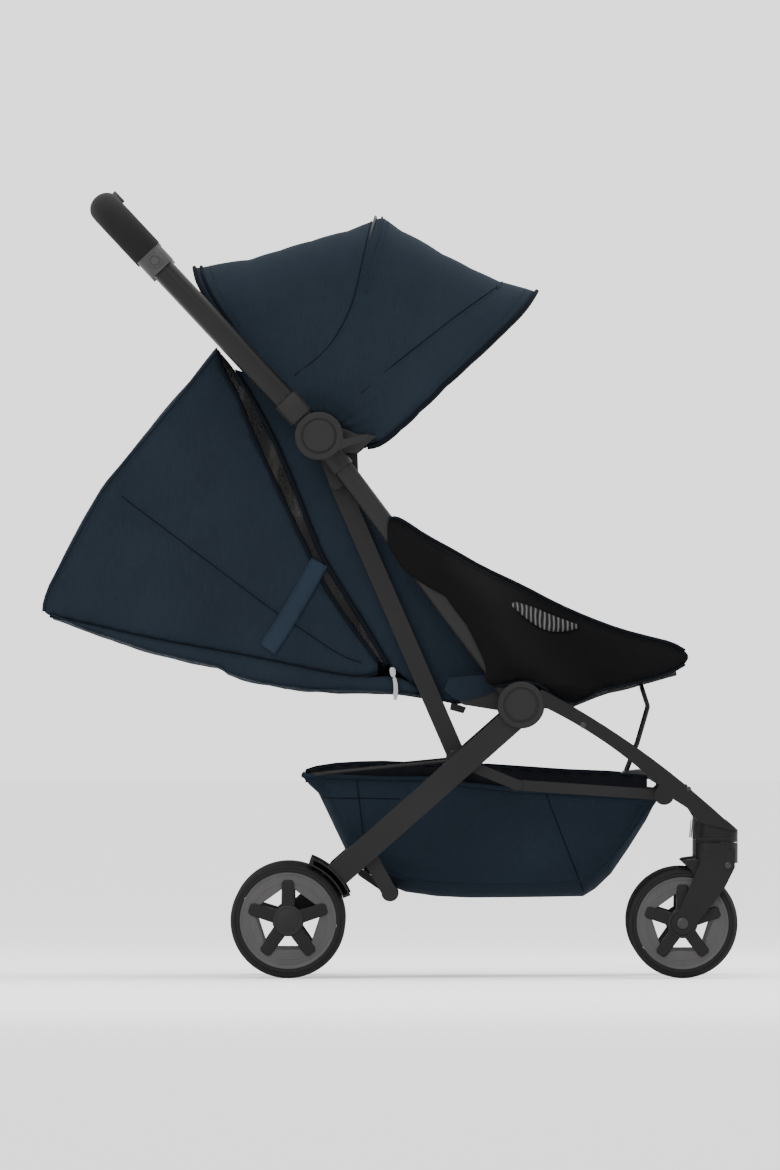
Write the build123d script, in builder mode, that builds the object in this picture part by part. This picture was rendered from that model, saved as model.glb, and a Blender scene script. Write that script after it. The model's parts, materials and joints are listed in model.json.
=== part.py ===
"""Compact baby stroller that folds in two, built as separate sub-parts.

Frame of the model: +X is the way the stroller faces, +Z is up, the floor is Z = 0 and
the origin is on the floor, midway between head end and front wheels. "right" is the -Y side.
All sizes are in millimetres and angles in degrees, measured from +X towards +Z.
"""
from build123d import *
from math import atan2, cos, degrees, hypot, radians, sin
import os

os.makedirs("parts", exist_ok=True)

# ---- driving dimensions: the side view, as (x, z) points -------------------------------
HUB_LOW = (171.0, 360.4)        # main fold pivot: legs and seat tube meet here
HUB_UP = (-95.7, 715.4)         # handle pivot
REAR_AXLE = (-136.6, 76.0)
FRONT_AXLE = (384.1, 72.5)
REAR_WHEEL_R = 76.0
FRONT_WHEEL_R = 72.5
CASTER_X = 429.0                # upright swivel axis of the front casters
LINK_FOOT = (85.4, 288.0)       # pin of the link tube and the rear brace on the rear leg
FRONT_BRACE_PIN = (359.7, 241.6)
BRACE_KNEE = (165.8, 254.8)     # where the two braces meet
LEVER_ANGLE = -70.0             # lever on the handle pivot that carries the link's top
LEVER_LENGTH = 65.1
HANDLE_ANGLE = 133.1
HANDLE_LENGTH = 414.0           # handle pivot to the middle of the grip's cross bar
GRIP_ARM = 83.0                 # from the collar to the cross bar
BACK_PIVOT = (100.0, 372.0)
BACK_ANGLE = 172.0              # lower half of the reclined back
BACK_LENGTH = 332.0
HEAD_ANGLE = 163.6              # upper half, a little steeper
HEAD_LENGTH = 229.0
BOW_MID_ANGLE, BOW_MID_R = 75.6, 300.0
BOW_FRONT_ANGLE, BOW_FRONT_R = 41.0, 311.0

# ---- driving dimensions: layers outwards from the middle plane --------------------------
FABRIC_Y = 146.0
LINK_Y = (149.0, 158.0)
RING_Y = (159.5, 169.5)         # stack of canopy hinge rings
LEVER_Y = (171.0, 179.0)
SEAT_TUBE_Y = 191.0
BRACE_Y = (203.0, 211.0)
REAR_LEG_Y = (212.0, 226.0)
FRONT_DISC_Y = (226.6, 235.0)
HANDLE_Y = 216.0
SOCKET_FLAT_Y = 202.7           # inner side of the handle's socket, clear of the seat tube
REAR_WHEEL_Y = 220.0
CASTER_Y = 213.0

# ---- section sizes -----------------------------------------------------------------------
HUB_R = 31.0
PIN_R = 9.0
RUN = 0.08                      # radial clearance of a running pin
EYE_R = 27.0                    # canopy hinge rings and bow eyes
SEAT_TUBE_W, SEAT_TUBE_T = 27.0, 19.0
HANDLE_TUBE_W, HANDLE_TUBE_T = 31.0, 27.0
GRIP_W, GRIP_T = 42.0, 37.0
LINK_W = 24.0
LINK_SHIFT = (2.3, 1.0)         # the link tube lies this far beside its pin
LEG_SHIFT = (4.6, -5.3)         # and the rear leg this far beside the fold pivot
WALL = 1.6
BUCKLE_X, BUCKLE_Z, BUCKLE_T = 147.0, 411.8, 14.0
BUTTON_R = 11.0
LEG_W = 33.0
RIM_SHARE = 0.845               # rim radius over wheel radius
WHEELS = {"rear": (REAR_AXLE, REAR_WHEEL_R, REAR_WHEEL_Y, 28.0),
          "front": (FRONT_AXLE, FRONT_WHEEL_R, CASTER_Y, 24.0)}   # axle, radius, y, width

SIDES = {"right": -1, "left": 1}
SIDE_VIEW = Plane.XZ            # local x is X, local y is Z, its normal is -Y


# ---- helpers ---------------------------------------------------------------------------------
def polar(centre, radius, angle):
    """Point of the side view at this distance and direction from centre."""
    return (centre[0] + radius * cos(radians(angle)), centre[1] + radius * sin(radians(angle)))


def along(p, q, distance):
    """Point of the side view this far from p towards q."""
    length = hypot(q[0] - p[0], q[1] - p[1])
    return (p[0] + (q[0] - p[0]) * distance / length, p[1] + (q[1] - p[1]) * distance / length)


def beside(point, shift):
    return (point[0] + shift[0], point[1] + shift[1])


def layer(side, inner, outer):
    """Side-view plane whose extrusion by outer - inner fills that layer on one side."""
    return SIDE_VIEW.offset(inner if side == "right" else -outer)


def save(part, name):
    part.label = name
    export_step(part, f"parts/{name}.step")


def slot_between(p, q, width, mode=Mode.ADD):
    """Round-ended bar from p to q in the current sketch."""
    middle = ((p[0] + q[0]) / 2, (p[1] + q[1]) / 2)
    length = hypot(q[0] - p[0], q[1] - p[1])
    turn = degrees(atan2(q[1] - p[1], q[0] - p[0]))
    with Locations(middle):
        SlotCenterToCenter(length, width, rotation=turn, mode=mode)


def tube_plane(p, q, y):
    """Plane at p, looking along the side view towards q; its local x is +Y."""
    return Plane(origin=(p[0], y, p[1]), x_dir=(0, 1, 0), z_dir=(q[0] - p[0], 0, q[1] - p[1]))


def disc(side, centre, inner, outer, radius, hole=0.0):
    """Flat ring round a pivot, in the current part."""
    with BuildSketch(layer(side, inner, outer)) as ring:
        with Locations(centre):
            Circle(radius)
            if hole:
                Circle(hole, mode=Mode.SUBTRACT)
    extrude(ring.sketch, amount=outer - inner)


def cross_rod(centre, radius, half_width):
    """Round rod across the whole stroller, in the current part."""
    with BuildSketch(SIDE_VIEW.offset(-half_width)) as end:
        with Locations(centre):
            Circle(radius)
    extrude(end.sketch, amount=2 * half_width)


# ---- seat frame: seat tubes and their two knuckles, cross tube --------------------------------
def seat_tube(side):
    start, end = along(HUB_LOW, HUB_UP, 30), along(HUB_UP, HUB_LOW, 24)
    with BuildPart() as tube:
        with BuildSketch(tube_plane(start, end, SIDES[side] * SEAT_TUBE_Y)):
            SlotOverall(SEAT_TUBE_W, SEAT_TUBE_T, rotation=90)
            SlotOverall(SEAT_TUBE_W - 2 * WALL, SEAT_TUBE_T - 2 * WALL, rotation=90,
                        mode=Mode.SUBTRACT)
        extrude(amount=hypot(end[0] - start[0], end[1] - start[1]))
    return tube.part


def tube_socket(side, hub, far, start, length):
    """Sleeve round the seat tube's end, in the current part."""
    with BuildSketch(tube_plane(along(hub, far, start), far, SIDES[side] * SEAT_TUBE_Y)) as ring:
        SlotOverall(SEAT_TUBE_W + 4, SEAT_TUBE_T + 3.6, rotation=90)
        SlotOverall(SEAT_TUBE_W + 0.1, SEAT_TUBE_T + 0.1, rotation=90, mode=Mode.SUBTRACT)
    extrude(ring.sketch, amount=length)


def lower_knuckle(side):
    """Knuckle on the seat tube's foot, with the pin that both legs turn on."""
    with BuildPart() as knuckle:
        with BuildSketch(layer(side, 179.3, 201)):
            with Locations(HUB_LOW):
                Circle(27)
        extrude(amount=21.7)
        tube_socket(side, HUB_LOW, HUB_UP, 30, 22)
        with BuildSketch(tube_plane(HUB_LOW, HUB_UP, SIDES[side] * SEAT_TUBE_Y)):
            SlotOverall(SEAT_TUBE_W + 4, SEAT_TUBE_T + 1, rotation=90)
        extrude(amount=29.9)
        disc(side, HUB_LOW, 200, 233.2, PIN_R)
        disc(side, HUB_LOW, 233.4, 235, 20)
        disc(side, HUB_LOW, 233, 234, PIN_R)
    return knuckle.part


def upper_knuckle(side):
    """Knuckle on the seat tube's top, bored for the handle's pin."""
    with BuildPart() as knuckle:
        with BuildSketch(layer(side, 180.4, 202)):
            with Locations(HUB_UP):
                Circle(23.8)
        extrude(amount=21.6)
        disc(side, HUB_UP, 202, 216, HUB_R)
        tube_socket(side, HUB_UP, HUB_LOW, 24, 29)
        with BuildSketch(layer(side, 180, 216.1)):
            with Locations(HUB_UP):
                Circle(PIN_R + RUN)
        extrude(amount=36.1, mode=Mode.SUBTRACT)
    return knuckle.part


def seat_cross_tube():
    """Tube between the seat tubes that the back hinges on, with a plate to each knuckle."""
    with BuildPart() as tube:
        cross_rod(BACK_PIVOT, 8, 179.3)
        for side in SIDES:
            with BuildSketch(layer(side, 172.3, 179.3)):
                slot_between(BACK_PIVOT, HUB_LOW, 24)
            extrude(amount=7)
    return tube.part


# ---- handle: one U with a hub at each foot -------------------------------------------------------
def handle_hub(side):
    """Disc, socket for the handle tube, pin through the knuckle and the lever for the link."""
    lever_end = polar(HUB_UP, LEVER_LENGTH, LEVER_ANGLE)
    socket_end = polar(HUB_UP, 66, HANDLE_ANGLE)
    with BuildPart() as hub:
        disc(side, HUB_UP, 216.5, 225.8, HUB_R)
        disc(side, HUB_UP, 159, 231.2, PIN_R)
        with BuildSketch(layer(side, 216.5, 225.8)):
            slot_between(HUB_UP, polar(HUB_UP, 44, HANDLE_ANGLE), 26)
        extrude(amount=9.3)
        with BuildSketch(tube_plane(polar(HUB_UP, 34, HANDLE_ANGLE), socket_end,
                                    SIDES[side] * HANDLE_Y)):
            SlotOverall(HANDLE_TUBE_W + 4.4, HANDLE_TUBE_T + 6.4, rotation=90)
        extrude(amount=32)
        with BuildSketch(tube_plane(polar(HUB_UP, 46, HANDLE_ANGLE), socket_end,
                                    SIDES[side] * HANDLE_Y)):
            SlotOverall(HANDLE_TUBE_W + 0.1, HANDLE_TUBE_T + 0.1, rotation=90)
        extrude(amount=21, mode=Mode.SUBTRACT)
        with BuildSketch(layer(side, 190, SOCKET_FLAT_Y)):
            with Locations(polar(HUB_UP, 64, HANDLE_ANGLE)):
                Circle(32.5)
        extrude(amount=SOCKET_FLAT_Y - 190, mode=Mode.SUBTRACT)
        with BuildSketch(layer(side, *LEVER_Y)):
            slot_between(HUB_UP, lever_end, 18)
            with Locations(HUB_UP):
                Circle(14)
        extrude(amount=LEVER_Y[1] - LEVER_Y[0])
    return hub.part


def handle_tube(side):
    start, end = polar(HUB_UP, 46, HANDLE_ANGLE), polar(HUB_UP, HANDLE_LENGTH - GRIP_ARM, HANDLE_ANGLE)
    with BuildPart() as tube:
        with BuildSketch(tube_plane(start, end, SIDES[side] * HANDLE_Y)):
            SlotOverall(HANDLE_TUBE_W, HANDLE_TUBE_T, rotation=90)
            SlotOverall(HANDLE_TUBE_W - 2 * WALL, HANDLE_TUBE_T - 2 * WALL, rotation=90,
                        mode=Mode.SUBTRACT)
        extrude(amount=hypot(end[0] - start[0], end[1] - start[1]))
    return tube.part


def handle_collars():
    """Clamp ring round each handle tube just below the grip, with a round plain boss."""
    start = polar(HUB_UP, HANDLE_LENGTH - GRIP_ARM - 29, HANDLE_ANGLE)
    end = polar(HUB_UP, HANDLE_LENGTH - GRIP_ARM - 0.2, HANDLE_ANGLE)
    middle = along(start, end, 14.4)
    with BuildPart() as collars:
        for side, s in SIDES.items():
            with BuildSketch(tube_plane(start, end, s * HANDLE_Y)):
                SlotOverall(HANDLE_TUBE_W + 7, HANDLE_TUBE_T + 7.6, rotation=90)
                SlotOverall(HANDLE_TUBE_W + 0.1, HANDLE_TUBE_T + 0.1, rotation=90,
                            mode=Mode.SUBTRACT)
            extrude(amount=28.8)
            with BuildSketch(layer(side, 230.5, 234.8)):
                with Locations(middle):
                    Circle(9.5)
            extrude(amount=4.3)
    return collars.part


def handle_grip():
    """Foam grip: the bends and the cross bar of the U, with a seat for the button."""
    foot = polar(HUB_UP, HANDLE_LENGTH - GRIP_ARM, HANDLE_ANGLE)
    top = polar(HUB_UP, HANDLE_LENGTH, HANDLE_ANGLE)
    with BuildPart() as grip:
        with BuildLine() as route:
            FilletPolyline((foot[0], -HANDLE_Y, foot[1]), (top[0], -HANDLE_Y, top[1]),
                           (top[0], HANDLE_Y, top[1]), (foot[0], HANDLE_Y, foot[1]), radius=62)
        with BuildSketch(tube_plane(foot, top, -HANDLE_Y)):
            Ellipse(GRIP_T / 2, GRIP_W / 2)
        sweep(path=route.line)
        with BuildSketch(button_plane(GRIP_W / 2 - 5)):
            RectangleRounded(52, 20, 8)
        extrude(amount=12, mode=Mode.SUBTRACT)
    return grip.part


def button_plane(height):
    """Plane on the cross bar facing the occupant's side, this far from the bar's centreline."""
    top = polar(HUB_UP, HANDLE_LENGTH, HANDLE_ANGLE)
    across = HANDLE_ANGLE - 90
    origin = polar(top, height, across)
    return Plane(origin=(origin[0], 0, origin[1]), x_dir=(0, 1, 0),
                 z_dir=(cos(radians(across)), 0, sin(radians(across))))


def fold_button():
    with BuildPart() as button:
        with BuildSketch(button_plane(GRIP_W / 2 - 0.8)):
            RectangleRounded(51, 19, 7.5)
        extrude(amount=5)
        fillet(button.faces().sort_by(Axis.X)[-1].edges(), 1.2)
    return button.part


# ---- canopy: outer arm, hinge rings, two bows, two stretches of hood ----------------------------
def canopy_arms():
    """Cover over each upper hub whose arm holds the front corner of the hood."""
    with BuildPart() as arms:
        for side in SIDES:
            with BuildSketch(layer(side, 226.3, 232)):
                with Locations(HUB_UP):
                    Circle(HUB_R + 0.8)
                with BuildLine():
                    Polyline((HUB_UP[0] + 8, HUB_UP[1] + 20), (HUB_UP[0] + 34, HUB_UP[1] - 4),
                             (HUB_UP[0] + 66, HUB_UP[1] + 3), (HUB_UP[0] + 60, HUB_UP[1] - 7),
                             (HUB_UP[0] + 40, HUB_UP[1] - 13), (HUB_UP[0] + 10, HUB_UP[1] - 26),
                             close=True)
                make_face()
            extrude(amount=5.7)
            disc(side, HUB_UP, 232, 234.6, 21)
            with BuildSketch(layer(side, 226.2, 231.6)):
                with Locations(HUB_UP):
                    Circle(PIN_R + RUN)
            extrude(amount=5.4, mode=Mode.SUBTRACT)
    return arms.part


def hinge_rings(inner, outer):
    """Ring on each handle pin that one bow turns on."""
    with BuildPart() as rings:
        for side in SIDES:
            disc(side, HUB_UP, inner, outer, EYE_R, PIN_R + RUN)
    return rings.part


def bow(angle, radius, inner, outer):
    """Hood bow: a wire across the hood whose legs end in flat eyes on the handle pins."""
    leg_y, foot_y = 175.5, (inner + outer) / 2
    start, bend = polar(HUB_UP, 33, angle), polar(HUB_UP, 52, angle)
    top = polar(HUB_UP, radius, angle)
    with BuildPart() as hoop:
        with BuildLine() as route:
            FilletPolyline((start[0], -foot_y, start[1]), (bend[0], -leg_y, bend[1]),
                           (top[0], -leg_y, top[1]), (top[0], leg_y, top[1]),
                           (bend[0], leg_y, bend[1]), (start[0], foot_y, start[1]),
                           radius=[20, 70, 70, 20])
        with BuildSketch(Plane(origin=route.line @ 0, z_dir=route.line % 0)):
            Circle(2.0)
        sweep(path=route.line)
        for side in SIDES:
            with BuildSketch(layer(side, inner, outer)):
                slot_between(HUB_UP, polar(HUB_UP, 35, angle), 9)
                with Locations(HUB_UP):
                    Circle(EYE_R)
                    Circle(PIN_R + RUN, mode=Mode.SUBTRACT)
            extrude(amount=outer - inner)
    return hoop.part


def hood_section(angle, radius, half_width=181.0):
    """Thin band, shaped like an upside-down U, in the plane through the handle pins."""
    foot, sheet, corner = 48.0, 3.0, 72.0
    plane = Plane(origin=(HUB_UP[0], 0, HUB_UP[1]), x_dir=(0, 1, 0),
                  z_dir=(sin(radians(angle)), 0, -cos(radians(angle))))
    height = 2 * (radius - foot)
    with BuildSketch(plane) as band:
        with Locations((0, foot)):
            RectangleRounded(2 * half_width, height, corner)
            RectangleRounded(2 * (half_width - sheet), height - 2 * sheet, corner - sheet,
                             mode=Mode.SUBTRACT)
        with Locations((0, foot - height / 2)):
            Rectangle(2 * half_width + 2, height, mode=Mode.SUBTRACT)
    return band.sketch


def hood(sections):
    """Stretch of hood through (angle, radius) ribs about the handle pins."""
    ribs = [hood_section(angle, radius) for angle, radius in sections]
    with BuildPart() as sheet:
        loft(ribs, ruled=True)
    return sheet.part


# ---- back: hinged board, pads, straps ---------------------------------------------------------------
BACK_KNEE = polar(BACK_PIVOT, BACK_LENGTH, BACK_ANGLE)


def slab(start, end, low, high, half_width, corner=0.0):
    """Flat pad from start to end of the side view, between two heights above that line."""
    length = hypot(end[0] - start[0], end[1] - start[1])
    plane = Plane(origin=(start[0], 0, start[1]), x_dir=(end[0] - start[0], 0, end[1] - start[1]),
                  z_dir=(end[1] - start[1], 0, start[0] - end[0]))
    with BuildPart() as pad:
        with BuildSketch(plane.offset(low)):
            with Locations((length / 2, 0)):
                RectangleRounded(length, 2 * half_width, corner or 1)
        extrude(amount=high - low)
    return pad


def back_hinge():
    """Pair of knuckles on the cross tube that carry the back through the fold."""
    with BuildPart() as hinge:
        for y in (-118, 118):
            with BuildSketch(SIDE_VIEW.offset(-y - 13)):
                with Locations(BACK_PIVOT):
                    Circle(12.5)
                    Circle(8 + RUN, mode=Mode.SUBTRACT)
            extrude(amount=26)
    return hinge.part


def back_board():
    """Stiff board of the back, with one eye round the cross tube between the knuckles."""
    pad = slab(polar(BACK_PIVOT, 16, BACK_ANGLE), BACK_KNEE, -2.5, 2.5, 134, 14)
    with BuildPart() as board:
        add(pad.part)
        cross_rod(BACK_KNEE, 2.4, 120)
        with BuildSketch(SIDE_VIEW.offset(-95)):
            slot_between(BACK_PIVOT, polar(BACK_PIVOT, 24, BACK_ANGLE), 5)
            with Locations(BACK_PIVOT):
                Circle(12.5)
                Circle(8 + RUN, mode=Mode.SUBTRACT)
        extrude(amount=190)
        with BuildSketch(SIDE_VIEW.offset(-96)):
            with Locations(BACK_PIVOT):
                Circle(8 + RUN)
        extrude(amount=192, mode=Mode.SUBTRACT)
    return board.part


def shoulder_straps():
    """Pair of flat webs on the back pad, stitched at the head end."""
    start, end = polar(BACK_PIVOT, 60, BACK_ANGLE), polar(BACK_PIVOT, 290, BACK_ANGLE)
    plane = Plane(origin=(start[0], 0, start[1]), x_dir=(end[0] - start[0], 0, end[1] - start[1]),
                  z_dir=(end[1] - start[1], 0, start[0] - end[0]))
    with BuildPart() as straps:
        with BuildSketch(plane.offset(37.5)):
            with Locations((115, -52), (115, 52)):
                RectangleRounded(230, 34, 5)
        extrude(amount=6)
    return straps.part


# ---- seat: fabric tub, side walls, harness ------------------------------------------------------------
def seat_pad():
    """Padded seat floor from the cross tube to the front edge."""
    with BuildPart() as pad:
        with BuildSketch(SIDE_VIEW.offset(-138)):
            with BuildLine():
                Polyline((122, 378), (250, 372), (345, 398), (345, 424), (250, 412), (126, 410),
                         close=True)
            make_face()
        extrude(amount=276)
    return pad.part


def calf_pad():
    """Rolled front edge of the seat, behind the child's knees."""
    with BuildPart() as pad:
        with BuildSketch(SIDE_VIEW.offset(-146)):
            with BuildLine():
                Polyline((347, 396), (372, 402), (392, 424), (391, 431), (370, 440), (347, 436),
                         close=True)
            make_face()
        extrude(amount=292)
    return pad.part


def fabric_walls(outline):
    """One flat fabric wall each side, with this outline in the side view."""
    with BuildPart() as walls:
        for side in SIDES:
            with BuildSketch(layer(side, FABRIC_Y - 6, FABRIC_Y)):
                with BuildLine():
                    Polyline(*outline, close=True)
                make_face()
            extrude(amount=6)
    return walls.part


def seat_walls():
    """Fabric walls of the seat, from the mesh strips to the front edge."""
    outline = [(-184, 762), (-128, 664), (-91, 568), (-45, 491), (6, 404), (96, 392),
               (142, 380), (236, 363), (325, 393), (346, 398), (346, 438), (297, 460),
               (216, 496), (160, 529), (71, 573), (-4, 608), (-24, 640), (-88, 706), (-150, 770)]
    return fabric_walls(outline)


def side_wings():
    """Fabric walls beside the reclined back and the panel behind it, up to the handle tubes."""
    outline = [(-232, 824), (-372, 659), (-389, 633), (-450, 524), (-460, 483), (-406, 470),
               (-220, 430), (-78, 400), (3, 398), (-48, 489), (-94, 566), (-131, 662), (-187, 762)]
    rear = [(-232, 824), (-372, 659), (-389, 633), (-450, 524), (-460, 483),
            (-455, 481), (-445, 521), (-384, 630), (-367, 656), (-228, 820)]
    with BuildPart() as wings:
        add(fabric_walls(outline))
        with BuildSketch(SIDE_VIEW.offset(-FABRIC_Y + 5)):
            with BuildLine():
                Polyline(*rear, close=True)
            make_face()
        extrude(amount=2 * FABRIC_Y - 10)
    return wings.part


def crotch_strap():
    """Web lying on the seat in front of the buckle."""
    with BuildPart() as strap:
        with BuildSketch(Plane.XY.offset(BUCKLE_Z)):
            with Locations((191.5, 0)):
                RectangleRounded(46, 34, 3)
        extrude(amount=4)
    return strap.part


def buckle():
    """Harness buckle lying on the seat, with a well in its top for the button."""
    with BuildPart() as body:
        with BuildSketch(Plane.XY.offset(BUCKLE_Z)):
            with Locations((BUCKLE_X, 0)):
                RectangleRounded(42, 52, 9)
        extrude(amount=BUCKLE_T)
        fillet(body.faces().sort_by(Axis.Z)[-1].edges(), 2)
        with BuildSketch(Plane.XY.offset(BUCKLE_Z + BUCKLE_T - 8)):
            with Locations((BUCKLE_X, 0)):
                Circle(BUTTON_R + 0.4)
        extrude(amount=9, mode=Mode.SUBTRACT)
    return body.part


def buckle_button():
    with BuildPart() as button:
        with BuildSketch(Plane.XY.offset(BUCKLE_Z + BUCKLE_T - 4)):
            with Locations((BUCKLE_X, 0)):
                Circle(BUTTON_R)
        extrude(amount=3.6)
    return button.part


# ---- rear frame ----------------------------------------------------------------------------------------
LEG_ANGLE = degrees(atan2(HUB_LOW[1] - REAR_AXLE[1], HUB_LOW[0] - REAR_AXLE[0]))
GUARD_IN, GUARD_OUT = REAR_WHEEL_R + 2.6, REAR_WHEEL_R + 13
LEG_END = polar(REAR_AXLE, GUARD_OUT + 4, LEG_ANGLE)
CROSS_TUBE = (-2.0, 112.0)


def rear_leg(side):
    """Flat leg from the fold pivot to the wheel guard, with the pins of link and brace."""
    with BuildPart() as leg:
        with BuildSketch(layer(side, *REAR_LEG_Y)):
            slot_between(beside(HUB_LOW, LEG_SHIFT), LEG_END, LEG_W)
            with Locations(HUB_LOW):
                Circle(27)
                Circle(PIN_R + RUN, mode=Mode.SUBTRACT)
            with Locations(REAR_AXLE):
                Circle(GUARD_OUT + 0.2, mode=Mode.SUBTRACT)
        extrude(amount=REAR_LEG_Y[1] - REAR_LEG_Y[0])
        disc(side, LINK_FOOT, 147, REAR_LEG_Y[0] + 1, 5)
        disc(side, LINK_FOOT, 167, REAR_LEG_Y[0] + 1, 8)
    return leg.part


def rear_guard(side):
    """Guard over the wheel, and the arm on its inside that carries the axle."""
    with BuildPart() as guard:
        with BuildSketch(layer(side, 200, 235)):
            with Locations(REAR_AXLE):
                Circle(GUARD_OUT)
                Circle(GUARD_IN, mode=Mode.SUBTRACT)
            with BuildLine():
                Polyline(REAR_AXLE, polar(REAR_AXLE, 200, 22), polar(REAR_AXLE, 200, 70), close=True)
            make_face(mode=Mode.INTERSECT)
        extrude(amount=35)
        with BuildSketch(layer(side, 194, 200.5)):
            slot_between(REAR_AXLE, LEG_END, 26)
        extrude(amount=6.5)
        disc(side, REAR_AXLE, 200, 233, 5)
        disc(side, REAR_AXLE, 200, 204, 10)
    return guard.part


def rear_cross_tube():
    """Tube between the rear legs' lower ends, with a lug up to each leg."""
    with BuildPart() as tube:
        cross_rod(CROSS_TUBE, 7, 211.6)
        for side in SIDES:
            with BuildSketch(layer(side, 203, 211.8)):
                slot_between(CROSS_TUBE, (-28, 158), 20)
            extrude(amount=8.8)
    return tube.part


def rear_axle_tube():
    with BuildPart() as tube:
        cross_rod(REAR_AXLE, 8, 194)
    return tube.part


def basket_hoop():
    """Wire round the basket's rear rim, turning on the link pins."""
    rear_x, rear_z, wire_y = -113.0, 268.0, 162.5
    with BuildPart() as hoop:
        with BuildLine() as route:
            FilletPolyline((LINK_FOOT[0] - 6, -wire_y, LINK_FOOT[1] - 1), (rear_x, -wire_y, rear_z),
                           (rear_x, wire_y, rear_z), (LINK_FOOT[0] - 6, wire_y, LINK_FOOT[1] - 1),
                           radius=45)
        with BuildSketch(Plane(origin=route.line @ 0, z_dir=route.line % 0)):
            Circle(2.8)
        sweep(path=route.line)
        for side in SIDES:
            disc(side, LINK_FOOT, 159, 166, 10)
            with BuildSketch(layer(side, 158, 167)):
                with Locations(LINK_FOOT):
                    Circle(5 + RUN)
            extrude(amount=9, mode=Mode.SUBTRACT)
    return hoop.part


def basket():
    """Open fabric basket: a tub with its true outer shape."""
    outer = [(-112, 262), (-96, 247), (-56, 168), (20, 126), (34, 113), (105, 108), (254, 108),
             (270, 119), (291, 139), (330, 200), (344, 226), (166, 246), (66, 262)]
    inner = [(-102, 300), (-90, 249), (-51, 172), (24, 130), (38, 117), (105, 112), (253, 112),
             (267, 122), (288, 142), (326, 203), (338, 240), (330, 300)]
    with BuildPart() as tub:
        with BuildSketch(SIDE_VIEW.offset(-FABRIC_Y)):
            with BuildLine():
                Polyline(*outer, close=True)
            make_face()
        extrude(amount=2 * FABRIC_Y)
        with BuildSketch(SIDE_VIEW.offset(-FABRIC_Y + 4)):
            with BuildLine():
                Polyline(*inner, close=True)
            make_face()
        extrude(amount=2 * FABRIC_Y - 8, mode=Mode.SUBTRACT)
    return tub.part


def brake_pedal():
    """Foot lever on the rear cross tube, near the right wheel."""
    tip = (-40, 138)
    with BuildPart() as pedal:
        with BuildSketch(SIDE_VIEW.offset(96)):
            with Locations(CROSS_TUBE):
                Circle(11.5)
            slot_between(CROSS_TUBE, tip, 9)
        extrude(amount=60)
        with BuildSketch(SIDE_VIEW.offset(95)):
            with Locations(CROSS_TUBE):
                Circle(7 + RUN)
        extrude(amount=62, mode=Mode.SUBTRACT)
    return pedal.part


# ---- fold links and braces ---------------------------------------------------------------------------
def link_tubes():
    """Flat tube each side from the rear leg to the lever on the handle's pin."""
    top = polar(HUB_UP, LEVER_LENGTH, LEVER_ANGLE)
    with BuildPart() as tubes:
        for side in SIDES:
            with BuildSketch(layer(side, *LINK_Y)):
                slot_between(beside(LINK_FOOT, LINK_SHIFT), beside(top, LINK_SHIFT), LINK_W)
                with Locations(LINK_FOOT):
                    Circle(5 + RUN, mode=Mode.SUBTRACT)
            extrude(amount=LINK_Y[1] - LINK_Y[0])
    return tubes.part


def rear_braces():
    """Short half of each lower brace, turning on the rear leg."""
    with BuildPart() as braces:
        for side in SIDES:
            with BuildSketch(layer(side, 207.3, BRACE_Y[1])):
                slot_between(LINK_FOOT, BRACE_KNEE, 14)
                with Locations(LINK_FOOT):
                    Circle(13)
                    Circle(8 + RUN, mode=Mode.SUBTRACT)
            extrude(amount=BRACE_Y[1] - 207.3)
    return braces.part


def front_braces():
    """Long half of each lower brace, turning on the front cross tube."""
    with BuildPart() as braces:
        for side in SIDES:
            with BuildSketch(layer(side, BRACE_Y[0], 206.8)):
                slot_between(FRONT_BRACE_PIN, BRACE_KNEE, 14)
                with Locations(FRONT_BRACE_PIN):
                    Circle(13)
                    Circle(8 + RUN, mode=Mode.SUBTRACT)
            extrude(amount=206.8 - BRACE_Y[0])
            disc(side, BRACE_KNEE, 201.6, BRACE_Y[0] + 0.5, 6)
    return braces.part


# ---- front frame ------------------------------------------------------------------------------------------
def front_leg(side):
    """Tapered leg from a disc over the fold pivot to the caster's socket."""
    inner, outer = 213, 233
    with BuildPart() as leg:
        with BuildSketch(layer(side, inner, outer)):
            with BuildLine():
                Polyline(HUB_LOW, (198, 381))
                ThreePointArc((198, 381), (334, 297), (457, 193))
                Polyline((457, 193), (404, 206), (394, 222), (372, 236))
                ThreePointArc((372, 236), (312, 289), (206, 355.5))
                Line((206, 355.5), HUB_LOW)
            make_face()
            with Locations(FRONT_BRACE_PIN):
                Circle(13)
        extrude(amount=outer - inner)
        with BuildSketch(layer(side, inner - 1, FRONT_DISC_Y[0])):
            with Locations(HUB_LOW):
                Circle(50)
        extrude(amount=FRONT_DISC_Y[0] - inner + 1, mode=Mode.SUBTRACT)
        disc(side, HUB_LOW, FRONT_DISC_Y[0], outer, HUB_R)
        with BuildSketch(layer(side, FRONT_DISC_Y[0] - 1, outer + 1)):
            with Locations(HUB_LOW):
                Circle(PIN_R + RUN)
        extrude(amount=outer - FRONT_DISC_Y[0] + 2, mode=Mode.SUBTRACT)
        with BuildSketch(Plane.XY.offset(179.6)):
            with Locations((CASTER_X, SIDES[side] * CASTER_Y)):
                SlotOverall(56, 33)
        extrude(amount=30)
        with BuildSketch(layer(side, inner - 20, outer + 10)):
            with BuildLine():
                Polyline((457.5, 195.5), (396, 248), (470, 248), (470, 195.5), close=True)
            make_face()
        extrude(amount=outer - inner + 30, mode=Mode.SUBTRACT)
        with BuildSketch(Plane.XY.offset(179)):
            with Locations((CASTER_X, SIDES[side] * CASTER_Y)):
                Circle(6 + RUN)
        extrude(amount=22, mode=Mode.SUBTRACT)
    return leg.part


def front_cross_tube():
    with BuildPart() as tube:
        cross_rod(FRONT_BRACE_PIN, 8, 212.8)
    return tube.part


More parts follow.
